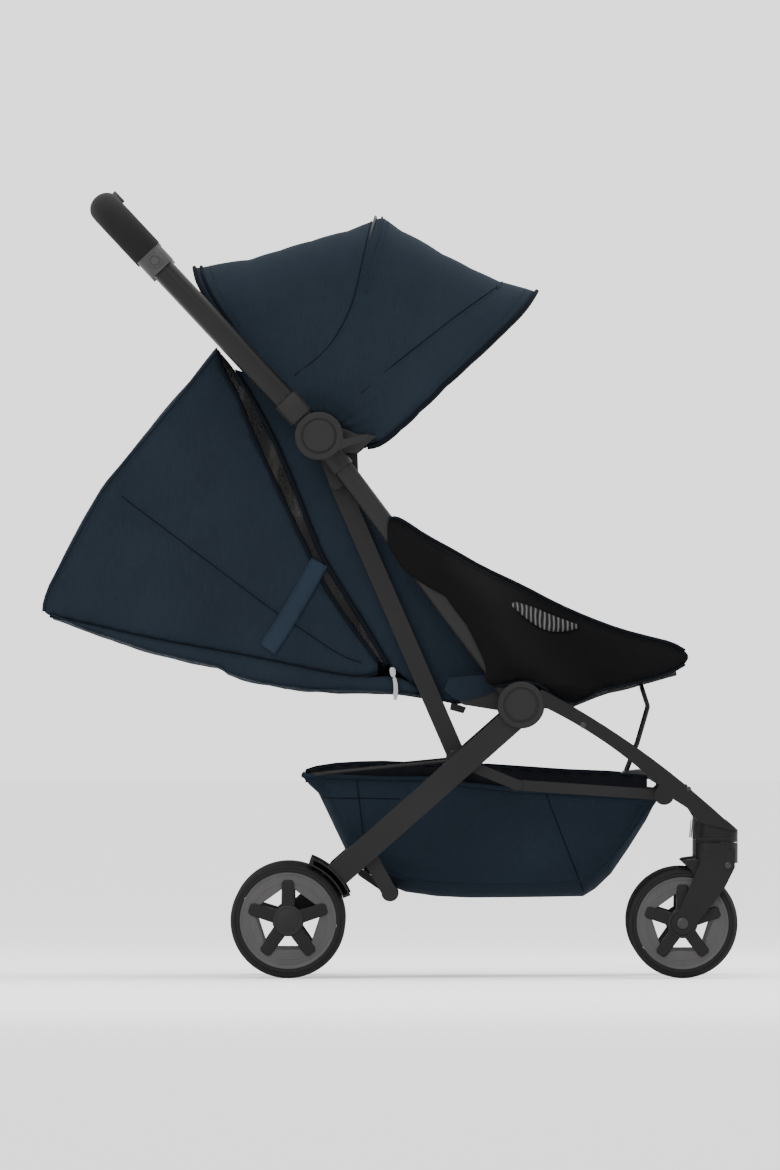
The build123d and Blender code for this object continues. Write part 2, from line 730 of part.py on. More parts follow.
def footrest():
    """Ribbed plate over the front cross tube for the child's heels."""
    with BuildPart() as plate:
        with BuildSketch(SIDE_VIEW.offset(-120)):
            with BuildLine():
                Polyline((304, 270), (344, 274), (363, 256), (357, 252), (340, 262), (306, 259),
                         close=True)
            make_face()
        extrude(amount=240)
        with BuildSketch(SIDE_VIEW.offset(-110)):
            with BuildLine():
                Polyline((350, 262), (363, 256), (366, 250.2), (352, 250.2), close=True)
            make_face()
        extrude(amount=220)
    return plate.part


def foot_wire():
    """Bent wire that props the calf pad on the footrest."""
    with BuildPart() as wire:
        with BuildLine() as route:
            FilletPolyline((311, -95, 271.9), (326, -95, 310), (340, -95, 358), (331, -95, 386),
                           (331, 95, 386), (340, 95, 358), (326, 95, 310), (311, 95, 271.9), radius=9)
        with BuildSketch(Plane(origin=route.line @ 0, z_dir=route.line % 0)):
            Circle(2.5)
        sweep(path=route.line)
    return wire.part


# ---- casters and wheels ------------------------------------------------------------------------------------
def caster_fork(side):
    """Swivel head and two-armed fork of a front wheel, with its axle."""
    s = SIDES[side]
    with BuildPart() as fork:
        with BuildSketch(Plane.XY.offset(152)):
            with Locations((CASTER_X, s * CASTER_Y)):
                SlotOverall(56, 38)
        extrude(amount=27)
        with BuildSketch(Plane.XY.offset(178)):
            with Locations((CASTER_X, s * CASTER_Y)):
                Circle(6)
        extrude(amount=21)
        for inner, outer in ((194, 199), (227, 232)):
            with BuildSketch(layer(side, inner, outer)):
                with BuildLine():
                    Polyline((FRONT_AXLE[0] - 6, FRONT_AXLE[1] + 14), (CASTER_X - 22, 152),
                             (CASTER_X - 22, 166), (CASTER_X + 24, 170), (CASTER_X + 24, 146),
                             (CASTER_X + 10, 118), (FRONT_AXLE[0] + 12, FRONT_AXLE[1] - 10),
                             close=True)
                make_face()
                with Locations(FRONT_AXLE):
                    Circle(15)
            extrude(amount=outer - inner)
        disc(side, FRONT_AXLE, 195, 231, 5)
    return fork.part


def tyre(side, axle, radius, y, width):
    """Tread ring with rounded shoulders."""
    rim_r = radius * RIM_SHARE
    plane = Plane(origin=(axle[0], SIDES[side] * y, axle[1]), x_dir=(1, 0, 0), z_dir=(0, 0, 1))
    with BuildPart() as ring:
        with BuildSketch(plane):
            with BuildLine():
                Polyline((rim_r, -width / 2), (radius - 7, -width / 2), (radius - 2, -width / 2 + 4),
                         (radius, -width / 2 + 9), (radius, width / 2 - 9),
                         (radius - 2, width / 2 - 4), (radius - 7, width / 2), (rim_r, width / 2),
                         close=True)
            make_face()
        revolve(axis=Axis((axle[0], 0, axle[1]), (0, 1, 0)))
    return ring.part


def rim(side, axle, radius, y, width):
    """Rim with a five-sided window, five raised spokes and a hub."""
    rim_r = radius * RIM_SHARE
    inner, outer = y - width / 2 + 3, y + width / 2 - 3
    with BuildPart() as wheel:
        with BuildSketch(layer(side, inner, outer)):
            with Locations(axle):
                Circle(rim_r - 0.05)
                RegularPolygon(radius * 0.5, 5, major_radius=False, rotation=18, mode=Mode.SUBTRACT)
        extrude(amount=outer - inner)
        with BuildSketch(layer(side, inner, outer + 2)):
            for k in range(5):
                slot_between(axle, polar(axle, radius * 0.66, 90 + 72 * k), radius * 0.21)
            with Locations(axle):
                Circle(radius * 0.272)
        extrude(amount=outer + 2 - inner)
        with BuildSketch(layer(side, inner - 1, outer + 3)):
            with Locations(axle):
                Circle(5 + RUN)
        extrude(amount=outer - inner + 4, mode=Mode.SUBTRACT)
    return wheel.part


# ---- build everything ---------------------------------------------------------------------------------------
SIDED = (seat_tube, lower_knuckle, upper_knuckle, handle_hub, handle_tube, rear_leg, rear_guard,
         front_leg, caster_fork)
SINGLE = (seat_cross_tube, handle_collars, handle_grip, fold_button, canopy_arms, back_hinge,
          back_board, shoulder_straps, seat_pad, calf_pad, seat_walls, side_wings,
          crotch_strap, buckle, buckle_button, rear_cross_tube, rear_axle_tube, basket_hoop, basket,
          brake_pedal, link_tubes, rear_braces, front_braces, front_cross_tube, footrest, foot_wire)
for make in SIDED:
    for side in SIDES:
        save(make(side), f"{make.__name__}_{side}")
for make in SINGLE:
    save(make(), make.__name__)
for axle_name, (axle, radius, y, width) in WHEELS.items():
    for side in SIDES:
        save(tyre(side, axle, radius, y, width), f"{axle_name}_tyre_{side}")
        save(rim(side, axle, radius, y, width), f"{axle_name}_rim_{side}")

save(hinge_rings(159.5, 161.7), "hood_ring_mid")
save(hinge_rings(164.7, 166.9), "hood_ring_front")
save(bow(BOW_MID_ANGLE, BOW_MID_R, 162.1, 164.3), "hood_bow_mid")
save(bow(BOW_FRONT_ANGLE, BOW_FRONT_R, 167.3, 169.5), "hood_bow_front")
save(hood([(124, 272), (110, 253), (94, 260), (78, 301)]), "hood_rear")
save(hood([(73, 300), (58, 291), (43, 314), (34, 343)]), "hood_front")
save(slab(polar(BACK_PIVOT, 26, BACK_ANGLE), polar(BACK_PIVOT, BACK_LENGTH - 3, BACK_ANGLE),
          2.7, 37, 136, 16).part, "back_pad")
save(slab(polar(BACK_KNEE, 4, HEAD_ANGLE), polar(BACK_KNEE, HEAD_LENGTH, HEAD_ANGLE),
          -1, 37, 136, 20).part, "head_pad")
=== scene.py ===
"""Looks of the folding baby stroller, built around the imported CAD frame. Lengths are in metres;
side-view shapes are (x, z) points in millimetres, with the stroller facing +X."""

import json
from math import atan2, cos, degrees, exp, hypot, pi, radians, sin

import bmesh
import bpy
import numpy as np
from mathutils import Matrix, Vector, geometry, noise

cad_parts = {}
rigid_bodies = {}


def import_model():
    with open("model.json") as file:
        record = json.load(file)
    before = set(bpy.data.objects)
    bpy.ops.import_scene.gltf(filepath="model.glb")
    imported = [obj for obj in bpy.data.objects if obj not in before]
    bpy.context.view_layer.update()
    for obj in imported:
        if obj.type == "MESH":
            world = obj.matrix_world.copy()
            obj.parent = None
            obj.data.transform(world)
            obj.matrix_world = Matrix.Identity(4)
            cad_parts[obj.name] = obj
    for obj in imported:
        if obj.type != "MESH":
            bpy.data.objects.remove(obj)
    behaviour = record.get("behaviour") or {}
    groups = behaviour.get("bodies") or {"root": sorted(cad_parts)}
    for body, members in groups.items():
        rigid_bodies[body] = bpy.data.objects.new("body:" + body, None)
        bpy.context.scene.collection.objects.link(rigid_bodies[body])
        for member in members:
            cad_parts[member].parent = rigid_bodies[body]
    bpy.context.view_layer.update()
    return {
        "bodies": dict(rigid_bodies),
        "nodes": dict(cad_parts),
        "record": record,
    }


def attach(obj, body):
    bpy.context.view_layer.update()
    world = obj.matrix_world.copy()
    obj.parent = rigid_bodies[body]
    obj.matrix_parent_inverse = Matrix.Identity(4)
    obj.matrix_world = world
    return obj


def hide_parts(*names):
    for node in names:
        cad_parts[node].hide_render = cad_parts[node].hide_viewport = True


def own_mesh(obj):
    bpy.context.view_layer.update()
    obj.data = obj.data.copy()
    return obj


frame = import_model()

MM = 0.001
HUB_UP = (-95.7, 715.4)
HUB_LOW = (171.0, 360.4)
BACK_PIVOT = (100.0, 372.0)
BACK_ANGLE, BACK_LENGTH = 172.0, 332.0
HEAD_ANGLE = 163.6
HANDLE_ANGLE = 133.1
REAR_AXLE, REAR_WHEEL_R, REAR_WHEEL_Y, REAR_WHEEL_W = (-136.6, 76.0), 76.0, 220.0, 28.0
FRONT_AXLE, FRONT_WHEEL_R, FRONT_WHEEL_Y, FRONT_WHEEL_W = (384.1, 72.5), 72.5, 213.0, 24.0
SIDES = {"right": -1, "left": 1}


# ---- plane geometry ----------------------------------------------------------------------------
def polar(centre, radius, angle):
    return (centre[0] + radius * cos(radians(angle)), centre[1] + radius * sin(radians(angle)))


def resample(points, step, closed=False):
    """Points every step along a polyline, its corners kept."""
    made = []
    ends = list(points) + ([points[0]] if closed else [])
    for p, q in zip(ends, ends[1:]):
        count = max(1, round(hypot(*[b - a for a, b in zip(p, q)]) / step))
        made += [tuple(a + (b - a) * k / count for a, b in zip(p, q)) for k in range(count)]
    return made if closed else made + [tuple(ends[-1])]


def smooth_line(points, rounds=2, closed=False):
    """Rounds a polyline's corners by cutting them, ends kept."""
    pts = [tuple(p) for p in points]
    for _ in range(rounds):
        pairs = list(zip(pts, pts[1:] + (pts[:1] if closed else [])))
        made = [] if closed else [pts[0]]
        for p, q in pairs:
            made.append(tuple(0.75 * a + 0.25 * b for a, b in zip(p, q)))
            made.append(tuple(0.25 * a + 0.75 * b for a, b in zip(p, q)))
        pts = made if closed else made + [pts[-1]]
    return pts


def distance_to(points, line):
    """Distance of each point from a polyline, as an array."""
    pts = np.array(points, float)
    best = np.full(len(pts), 1e9)
    for p, q in zip(line, line[1:]):
        a, d = np.array(p, float), np.array(q, float) - np.array(p, float)
        t = np.clip(((pts - a) @ d) / max(d @ d, 1e-9), 0, 1)
        best = np.minimum(best, np.linalg.norm(pts - a - t[:, None] * d, axis=1))
    return best


def at(table, x):
    """Value at x of a table of (x, value) rows in rising x."""
    xs, values = zip(*table)
    return float(np.interp(x, xs, values))


def step_up(low, high, x):
    t = min(1.0, max(0.0, (x - low) / (high - low)))
    return t * t * (3 - 2 * t)


# ---- mesh helpers --------------------------------------------------------------------------------
def mesh_piece(name, verts, faces, material):
    """Mesh object from points in millimetres."""
    mesh = bpy.data.meshes.new(name)
    mesh.from_pydata([tuple(c * MM for c in v) for v in verts], [], faces)
    mesh.materials.append(material)
    mesh.shade_smooth()
    obj = bpy.data.objects.new(name, mesh)
    bpy.context.scene.collection.objects.link(obj)
    return obj


def join(name, objs):
    """One piece from several."""
    for o in bpy.context.selected_objects:
        o.select_set(False)
    for o in objs:
        o.select_set(True)
    bpy.context.view_layer.objects.active = objs[0]
    bpy.ops.object.join()
    objs[0].name = name
    objs[0].data.name = name
    return objs[0]


def apply_modifiers(obj):
    """Bakes the modifiers into the mesh."""
    graph = bpy.context.evaluated_depsgraph_get()
    mesh = bpy.data.meshes.new_from_object(obj.evaluated_get(graph))
    obj.modifiers.clear()
    obj.data = mesh
    return obj


def thicken(obj, thickness, offset=-1.0, inside=None):
    """Gives a sheet its thickness in millimetres; inside is the material of its other face."""
    m = obj.modifiers.new("thick", "SOLIDIFY")
    m.thickness = thickness * MM
    m.offset = offset
    m.use_even_offset = False
    if inside:
        obj.data.materials.append(inside)
        m.material_offset = 1
    return apply_modifiers(obj)


def tube(name, path, radius, material, sides=10, flat=1.0):
    """Round bar along 3-D points in millimetres; flat below 1 makes it a ribbon."""
    pts = [Vector(p) for p in path]
    n = len(pts)
    verts, faces = [], []
    up = Vector((0.13, 0.97, 0.21))
    for k, p in enumerate(pts):
        before, after = pts[max(0, k - 1)], pts[min(n - 1, k + 1)]
        run = (after - before).normalized()
        up = (up - run * up.dot(run)).normalized()
        across = run.cross(up)
        for j in range(sides):
            a = 2 * pi * j / sides
            verts.append(p + (up * cos(a) * flat + across * sin(a)) * radius)
    for k in range(0, (n - 1) * sides, sides):
        for j in range(sides):
            turn = (j + 1) % sides
            faces.append((k + j, k + turn, k + sides + turn, k + sides + j))
    faces.append(tuple(range(sides))[::-1])
    faces.append(tuple(range((n - 1) * sides, n * sides)))
    return mesh_piece(name, verts, faces, material)


def lathe(name, centre, profile, material, side=-1, segments=64):
    """Turned shape about a Y axis at centre; profile is (radius, |y|) points in millimetres."""
    verts, faces = [], []
    for k in range(segments):
        a = 2 * pi * k / segments
        verts += [(centre[0] + r * cos(a), side * y, centre[1] + r * sin(a)) for r, y in profile]
    m = len(profile)
    for k in range(segments):
        for j in range(m - 1):
            a, b = k * m + j, ((k + 1) % segments) * m + j
            faces.append((a, b, b + 1, a + 1) if side < 0 else (a, a + 1, b + 1, b))
    obj = mesh_piece(name, verts, faces, material)
    clean(obj)
    return obj


def grid_faces(rows, columns):
    """Faces between neighbours in a grid of points, listed row by row."""
    corners = [i * columns + j for i in range(rows - 1) for j in range(columns - 1)]
    return [(a, a + 1, a + columns + 1, a + columns) for a in corners]


def clean(obj):
    """Merges doubled points and turns the faces outwards."""
    bm = bmesh.new()
    bm.from_mesh(obj.data)
    bmesh.ops.remove_doubles(bm, verts=bm.verts, dist=1e-6)
    bmesh.ops.recalc_face_normals(bm, faces=bm.faces)
    bm.to_mesh(obj.data)
    bm.free()


def plate(name, outlines, side, inner, outer, bevel, material):
    """Flat piece with rounded edges: the first outline is its edge and the others are holes."""
    curve = bpy.data.curves.new(name, "CURVE")
    curve.dimensions = "2D"
    curve.fill_mode = "BOTH"
    curve.extrude = ((outer - inner) / 2 - bevel) * MM
    curve.bevel_depth = bevel * MM
    curve.bevel_resolution = 3
    curve.offset = -bevel * MM
    for outline in outlines:
        spline = curve.splines.new("POLY")
        spline.points.add(len(outline) - 1)
        for point, (x, z) in zip(spline.points, outline):
            point.co = (x * MM, z * MM, 0, 1)
        spline.use_cyclic_u = True
    source = bpy.data.objects.new(name, curve)
    bpy.context.scene.collection.objects.link(source)
    source.rotation_euler = (pi / 2, 0, 0)
    source.location = (0, side * (inner + outer) / 2 * MM, 0)
    bpy.context.view_layer.update()
    graph = bpy.context.evaluated_depsgraph_get()
    mesh = bpy.data.meshes.new_from_object(source.evaluated_get(graph))
    mesh.transform(source.matrix_world)
    bpy.data.objects.remove(source)
    mesh.materials.clear()
    mesh.materials.append(material)
    obj = bpy.data.objects.new(name, mesh)
    bpy.context.scene.collection.objects.link(obj)
    clean(obj)
    shade(obj)
    return obj


def shade(obj, angle=35):
    """Smooth shading that keeps edges sharper than angle."""
    for poly in obj.data.polygons:
        poly.use_smooth = True
    bm = bmesh.new()
    bm.from_mesh(obj.data)
    for edge in bm.edges:
        sharp = len(edge.link_faces) != 2 or edge.calc_face_angle(0) > radians(angle)
        edge.smooth = not sharp
    bm.to_mesh(obj.data)
    bm.free()


def circle(centre, radius, count=72, start=0.0):
    return [polar(centre, radius, start + 360 * k / count) for k in range(count)]


# ---- materials -----------------------------------------------------------------------------------
class Nodes:
    """Short way to write a node material."""

    def __init__(self, name, base, roughness, metallic=0.0):
        self.mat = bpy.data.materials.new(name)
        self.mat.use_nodes = True
        self.tree = self.mat.node_tree
        self.shader = self.tree.nodes["Principled BSDF"]
        self.surface(Roughness=roughness, Metallic=metallic, Base_Color=(*base, 1))
        self.place = self.add("TexCoord").outputs["Object"]

    def add(self, kind, **values):
        """Node of a kind, its inputs set from values whose names are the sockets' names."""
        node = self.tree.nodes.new("ShaderNode" + kind)
        for key, value in values.items():
            node.inputs[key.replace("_", " ")].default_value = value
        return node

    def surface(self, **values):
        """Sets the shader's own sockets."""
        for key, value in values.items():
            self.shader.inputs[key.replace("_", " ")].default_value = value

    def link(self, out, into):
        self.tree.links.new(out, into)

    def noise(self, scale, detail=3.0, rough=0.55, stretch=None):
        place = self.place
        if stretch:
            mapping = self.add("Mapping", Scale=stretch)
            self.link(place, mapping.inputs["Vector"])
            place = mapping.outputs["Vector"]
        node = self.add("TexNoise", Scale=scale, Detail=detail, Roughness=rough)
        self.link(place, node.inputs["Vector"])
        return node.outputs["Fac"]

    def wave(self, direction, scale, distortion):
        node = self.add("TexWave", Scale=scale, Distortion=distortion, Detail=1.0)
        node.bands_direction = direction
        self.link(self.place, node.inputs["Vector"])
        return node.outputs["Fac"]

    def math(self, operation, a, b):
        node = self.add("Math")
        node.operation = operation
        for k, value in enumerate((a, b)):
            if isinstance(value, (int, float)):
                node.inputs[k].default_value = value
            else:
                self.link(value, node.inputs[k])
        return node.outputs[0]

    def ramp(self, fac, stops):
        node = self.add("ValToRGB")
        while len(node.color_ramp.elements) < len(stops):
            node.color_ramp.elements.new(0.5)
        for element, (place, color) in zip(node.color_ramp.elements, stops):
            element.position = place
            element.color = (*color, 1)
        self.link(fac, node.inputs["Fac"])
        return node.outputs["Color"]

    def rough(self, fac, low, high):
        node = self.add("MapRange", To_Min=low, To_Max=high)
        self.link(fac, node.inputs["Value"])
        self.link(node.outputs["Result"], self.shader.inputs["Roughness"])

    def bump(self, height, distance, strength, under=None):
        node = self.add("Bump", Distance=distance, Strength=strength)
        self.link(height, node.inputs["Height"])
        if under:
            self.link(under, node.inputs["Normal"])
        return node.outputs["Normal"]

    def mix(self, *pairs):
        """Sum of (socket, share) pairs."""
        parts = [self.math("MULTIPLY", out, share) for out, share in pairs]
        total = parts[0]
        for part in parts[1:]:
            total = self.math("ADD", total, part)
        return total

    def cells(self, scale, **values):
        node = self.add("TexVoronoi", Scale=scale, **values)
        self.link(self.place, node.inputs["Vector"])
        return node.outputs["Distance"]

    def finish(self, color, normal):
        self.link(color, self.shader.inputs["Base Color"])
        self.link(normal, self.shader.inputs["Normal"])
        return self.mat


def shades(base, low, high):
    return tuple(c * low for c in base), tuple(min(1, c * high) for c in base)


def woven(name, base, thread=1400.0, across=("X", "Z"), depth=0.00035, soft=0.06):
    """Plain-weave cloth: crossing threads, heather flecks, slow unevenness and a soft sheen."""
    n = Nodes(name, base, 0.85)
    warp = n.wave(across[0], thread, 0.6)
    weft = n.wave(across[1], thread * 0.93, 0.6)
    cloth = n.math("MAXIMUM", warp, n.math("MULTIPLY", weft, 0.9))
    slub = n.noise(420, 4, 0.7, (1.0, 1.0, 0.16))
    blotch = n.noise(9, 3, 0.6)
    mixed = n.mix((cloth, 0.28), (slub, 0.45), (blotch, 0.3))
    low, high = shades(base, 0.62, 1.5)
    color = n.ramp(mixed, [(0.25, low), (0.55, base), (0.9, high)])
    n.rough(slub, 0.72, 0.95)
    n.surface(Specular_IOR_Level=0.05, Sheen_Weight=soft, Sheen_Roughness=0.45,
              Sheen_Tint=(*[min(1, 12 * c) for c in base], 1))
    creases = n.bump(n.noise(26, 4, 0.55), 0.0022, 0.55)
    normal = n.bump(cloth, depth, 0.5, creases)
    return n.finish(color, normal)


def net(name, base, hole=0.55, pitch=520.0, least_alpha=0.9):
    """Open knitted mesh: rows of holes that let a little light through."""
    n = Nodes(name, base, 0.7)
    cells = n.cells(pitch, Randomness=0.25)
    solid = n.math("GREATER_THAN", cells, hole)
    backed = n.math("GREATER_THAN", n.noise(30, 3, 0.5, (1.0, 1.0, 0.35)), 0.45)
    low, high = shades(base, 0.6, 3.2)
    color = n.ramp(n.noise(34, 3, 0.5, (1.0, 1.0, 0.35)), [(0.4, low), (0.52, base), (0.68, high)])
    n.link(n.math("MAXIMUM", n.math("MAXIMUM", solid, backed), least_alpha), n.shader.inputs["Alpha"])
    n.surface(Specular_IOR_Level=0.1)
    return n.finish(color, n.bump(cells, 0.0006, 0.6))


def striped_net(name, base, lit):
    """Knitted window whose gathered rows are painted lighter: painted highlights where the rows would
    catch the light.
    """
    n = Nodes(name, base, 0.75)
    rows = n.wave("X", 52, 1.6)
    mixed = n.mix((rows, 0.85), (n.noise(900, 3, 0.6), 0.15))
    # Painted highlight: the rows' colour rises from base up to lit, light painted onto the gathered
    # rows.
    color = n.ramp(mixed, [(0.45, base), (0.62, shades(lit, 0.35, 1)[0]), (0.95, lit)])
    n.surface(Specular_IOR_Level=0.1)
    return n.finish(color, n.bump(rows, 0.0012, 0.7))


def moulded(name, base, roughness=0.5):
    """Moulded plastic: fine spark grain, uneven gloss, faint scuffs."""
    n = Nodes(name, base, roughness)
    fine = n.noise(900, 5, 0.65)
    slow = n.noise(14, 3, 0.5)
    scuff = n.noise(60, 6, 0.75, (1.0, 1.0, 0.2))
    low, high = shades(base, 0.82, 1.3)
    color = n.ramp(n.mix((slow, 0.5), (scuff, 0.5)), [(0.3, low), (0.55, base), (0.78, high)])
    n.rough(n.mix((scuff, 0.6), (fine, 0.4)), roughness - 0.12, roughness + 0.14)
    n.surface(Specular_IOR_Level=0.12)
    return n.finish(color, n.bump(fine, 0.00012, 0.5))


def coated(name, base, roughness=0.38, metallic=0.35):
    """Powder-coated tube: orange peel, tiny flecks, a little wear in the gloss."""
    n = Nodes(name, base, roughness, metallic)
    peel = n.noise(700, 2, 0.5)
    fleck = n.noise(2600, 2, 0.5)
    slow = n.noise(7, 4, 0.6)
    low, high = shades(base, 0.8, 1.35)
    color = n.ramp(n.mix((fleck, 0.45), (slow, 0.55)), [(0.35, low), (0.55, base), (0.8, high)])
    n.rough(slow, roughness - 0.06, roughness + 0.1)
    n.surface(Specular_IOR_Level=0.2)
    return n.finish(color, n.bump(peel, 0.00006, 0.6))


def rubbery(name, base, roughness=0.8, pores=1500.0, depth=0.0002):
    """Foam or tyre rubber: open pores, dust in the hollows."""
    n = Nodes(name, base, roughness)
    cells = n.cells(pores)
    dust = n.noise(35, 5, 0.7)
    low, high = shades(base, 0.75, 1.6)
    color = n.ramp(dust, [(0.35, low), (0.55, base), (0.85, high)])
    n.rough(dust, roughness - 0.12, roughness + 0.1)
    n.surface(Specular_IOR_Level=0.15)
    return n.finish(color, n.bump(cells, depth, 0.55))


NAVY = (0.0088, 0.0132, 0.0192)
MATS = {
    "frame_black": coated("frame_black_mat", (0.0082, 0.008, 0.0082)),
    "frame_grey": coated("frame_grey_mat", (0.0105, 0.0102, 0.0103), 0.42),
    "hub_plastic": moulded("hub_plastic_mat", (0.0115, 0.0108, 0.0112)),
    "black_plastic": moulded("black_plastic_mat", (0.0062, 0.006, 0.0062), 0.46),
    "collar_grey": moulded("collar_grey_mat", (0.036, 0.0345, 0.0355), 0.42),
    "grip_foam": rubbery("grip_foam_mat", (0.0048, 0.0047, 0.0046)),
    "navy_fabric": woven("navy_fabric_mat", NAVY),
    "hood_fabric": woven("hood_fabric_mat", (0.0092, 0.0138, 0.0198)),
    "black_fabric": woven("black_fabric_mat", (0.0034, 0.0034, 0.0038), 1100, soft=0.03),
    "basket_fabric": woven("basket_fabric_mat", (0.0078, 0.0122, 0.0182)),
    "tyre": rubbery("tyre_mat", (0.0062, 0.0062, 0.0062), 0.78, 900, 0.00015),
    "rim_grey": moulded("rim_grey_mat", (0.046, 0.044, 0.0455), 0.44),
}
DARK_LINING = woven("dark_lining_mat", (0.0045, 0.005, 0.0065), 1200, soft=0.03)
PAD_CLOTH = woven("pad_cloth_mat", (0.0075, 0.008, 0.0098), 1300, ("X", "Y"), soft=0.08)
PIPING = woven("piping_mat", (0.0032, 0.0045, 0.0068), 1800, soft=0.03)
WEBBING = woven("webbing_mat", (0.0125, 0.0195, 0.03), 700, ("X", "Z"), 0.0005, 0.06)
NET = net("net_mat", (0.0075, 0.0072, 0.007))
# Its last colour is the painted highlight of the window's gathered rows.
STRIPED_NET = striped_net("striped_net_mat", (0.004, 0.004, 0.0042), (0.085, 0.085, 0.088))
THREAD = woven("thread_mat", (0.015, 0.022, 0.033), 2600, soft=0.04)
STEEL = coated("steel_mat", (0.3, 0.3, 0.31), 0.3, 0.9)
SCREW = coated("screw_mat", (0.03, 0.0295, 0.03), 0.3, 0.7)

SLOTS = {row["node"]: row["material_slot"] for row in frame["record"]["subparts"]}
SOFTER_EDGE = {"front_leg": 3.0, "rear_leg": 2.2, "caster_fork": 2.0, "rear_guard": 1.4}
for node, obj in frame["nodes"].items():
    obj.data.materials.clear()
    obj.data.materials.append(MATS[SLOTS[node]])
    weld = obj.modifiers.new("weld", "WELD")
    weld.merge_threshold = 0.00001
    edge = obj.modifiers.new("edge", "BEVEL")
    edge.width = SOFTER_EDGE.get(node.rsplit("_", 1)[0], 0.7) * MM
    edge.segments = 3
    edge.limit_method = "ANGLE"
    edge.angle_limit = radians(38)
    edge.harden_normals = True


# ---- fabric that bends with several bodies --------------------------------------------------------
BONES = ("seat_frame", "backrest", "head_rest", "handle", "bow_mid", "bow_front")


def make_rig():
    """Armature whose bones move as the CAD bodies of those names do."""
    rig = bpy.data.objects.new("fabric_rig", bpy.data.armatures.new("fabric_rig"))
    bpy.context.scene.collection.objects.link(rig)
    bpy.context.view_layer.objects.active = rig
    bpy.ops.object.mode_set(mode="EDIT")
    for name in BONES:
        bone = rig.data.edit_bones.new(name)
        bone.head, bone.tail = (0, 0, 0), (0, 0.1, 0)
    bpy.ops.object.mode_set(mode="OBJECT")
    for name in BONES:
        follow = rig.pose.bones[name].constraints.new("COPY_TRANSFORMS")
        follow.target = frame["bodies"][name]
    rig.hide_render = True
    return rig


RIG = make_rig()


def skin(obj, weights):
    """Bends obj with the bodies that weights(x, z) shares each point between."""
    groups = {name: obj.vertex_groups.new(name=name) for name in BONES}
    for v in obj.data.vertices:
        for name, weight in weights(v.co.x / MM, v.co.z / MM).items():
            if weight > 0:
                groups[name].add([v.index], weight, "REPLACE")
    bend = obj.modifiers.new("bend", "ARMATURE")
    bend.object = RIG
    bend.use_deform_preserve_volume = True
    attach(obj, "seat_frame")


def past_knee(x, z):
    reach = (x - BACK_PIVOT[0]) * cos(radians(BACK_ANGLE))
    reach += (z - BACK_PIVOT[1]) * sin(radians(BACK_ANGLE))
    return step_up(BACK_LENGTH - 25, BACK_LENGTH + 25, reach)


def wing_weights(x, z):
    """From the seat tube's line down to the back, which carries the wing's lower edge."""
    angle = degrees(atan2(z - BACK_PIVOT[1], x - BACK_PIVOT[0])) % 360
    low, far = step_up(129, 166, angle), past_knee(x, z)
    return {"seat_frame": 1 - low, "backrest": low * (1 - far), "head_rest": low * far}


def back_weights(x, z):
    far = past_knee(x, z)
    return {"backrest": 1 - far, "head_rest": far}


def hood_weights(x, z):
    angle = degrees(atan2(z - HUB_UP[1], x - HUB_UP[0]))
    rear, front = step_up(80, 126, angle), step_up(75, 41, angle) if angle < 75 else 0.0
    return {"handle": rear, "bow_front": front, "bow_mid": max(0.0, 1 - rear - front)}


def stand_for(obj, slot, *nodes):
    """Hides the CAD nodes that a piece takes the place of; obj and slot are not used."""
    if nodes:
        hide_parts(*nodes)


def seat_fold(obj):
    """Fixes a piece of the seat fabric to the seat frame, with a mesh of its own."""
    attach(obj, "seat_frame")
    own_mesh(obj)


def leg_fold(obj):
    """Fixes a piece of the basket to the rear frame, with a mesh of its own."""
    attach(obj, "rear_frame")
    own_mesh(obj)


# ---- flat sewn panels ------------------------------------------------------------------------------
class Panel:
    """Fabric panel of one side: an outline, its seams, and how far it stands out from |y|."""

    def __init__(self, outline, y, puff=4.0, soft=26.0, seams=(), groove=2.2, waves=None, rounds=2,
                 lean=None):
        self.outline = smooth_line(outline, rounds, closed=True)
        self.seams = [smooth_line(s, rounds) for s in seams]
        self.y, self.puff, self.soft = y, puff, soft
        self.groove, self.waves, self.lean = groove, waves, lean

    def lift(self, points):
        """|y| of the panel's face at side-view points."""
        rim = distance_to(points, self.outline + self.outline[:1])
        y = self.y + self.puff * (1 - np.exp(-rim / self.soft))
        for seam in self.seams:
            y -= self.groove * np.exp(-(distance_to(points, seam) / 6.0) ** 2)
        if self.waves:
            fade = 1 - np.exp(-rim / 12.0)
            y += fade * np.array([self.waves(x, z) for x, z in points])
        if self.lean:
            y += np.array([self.lean(x, z) for x, z in points])
        return y

    def mesh(self, name, side, material, step=6.5, thickness=1.8, inside=None):
        edge = resample(self.outline, step, closed=True)
        points = list(edge)
        edges = [(k, (k + 1) % len(edge)) for k in range(len(edge))]
        lines = edge + edge[:1]
        for seam in self.seams:
            run = resample(seam, step)
            edges += [(len(points) + k, len(points) + k + 1) for k in range(len(run) - 1)]
            points += run
        xs, zs = zip(*edge)
        grid, row = [], 0
        z = min(zs) + step / 2
        while z < max(zs):
            x = min(xs) + (step / 2 if row % 2 else 0)
            while x < max(xs):
                grid.append((x, z))
                x += step
            z, row = z + step * 0.87, row + 1
        keep = distance_to(grid, lines) > step * 0.5
        for seam in self.seams:
            keep &= distance_to(grid, seam) > step * 0.5
        points += [p for p, good in zip(grid, keep) if good]
        made = geometry.delaunay_2d_cdt([Vector(p) for p in points], edges, [], 1, 1e-3)
        flat = [(p.x, p.y) for p in made[0]]
        verts = [(x, side * y, z) for (x, z), y in zip(flat, self.lift(flat))]
        faces = [tuple(f) if side < 0 else tuple(f)[::-1] for f in made[2]]
        obj = mesh_piece(name, verts, faces, material)
        return thicken(obj, thickness, -1.0, inside)

    def line(self, points, side, out=0.4, step=6.0):
        """3-D points of a side-view line lying on the panel."""
        run = resample(points, step)
        return [(x, side * (y + out), z) for (x, z), y in zip(run, self.lift(run))]


def piping(path, radius, material=None):
    return tube("t", path, radius, material or PIPING, sides=8)


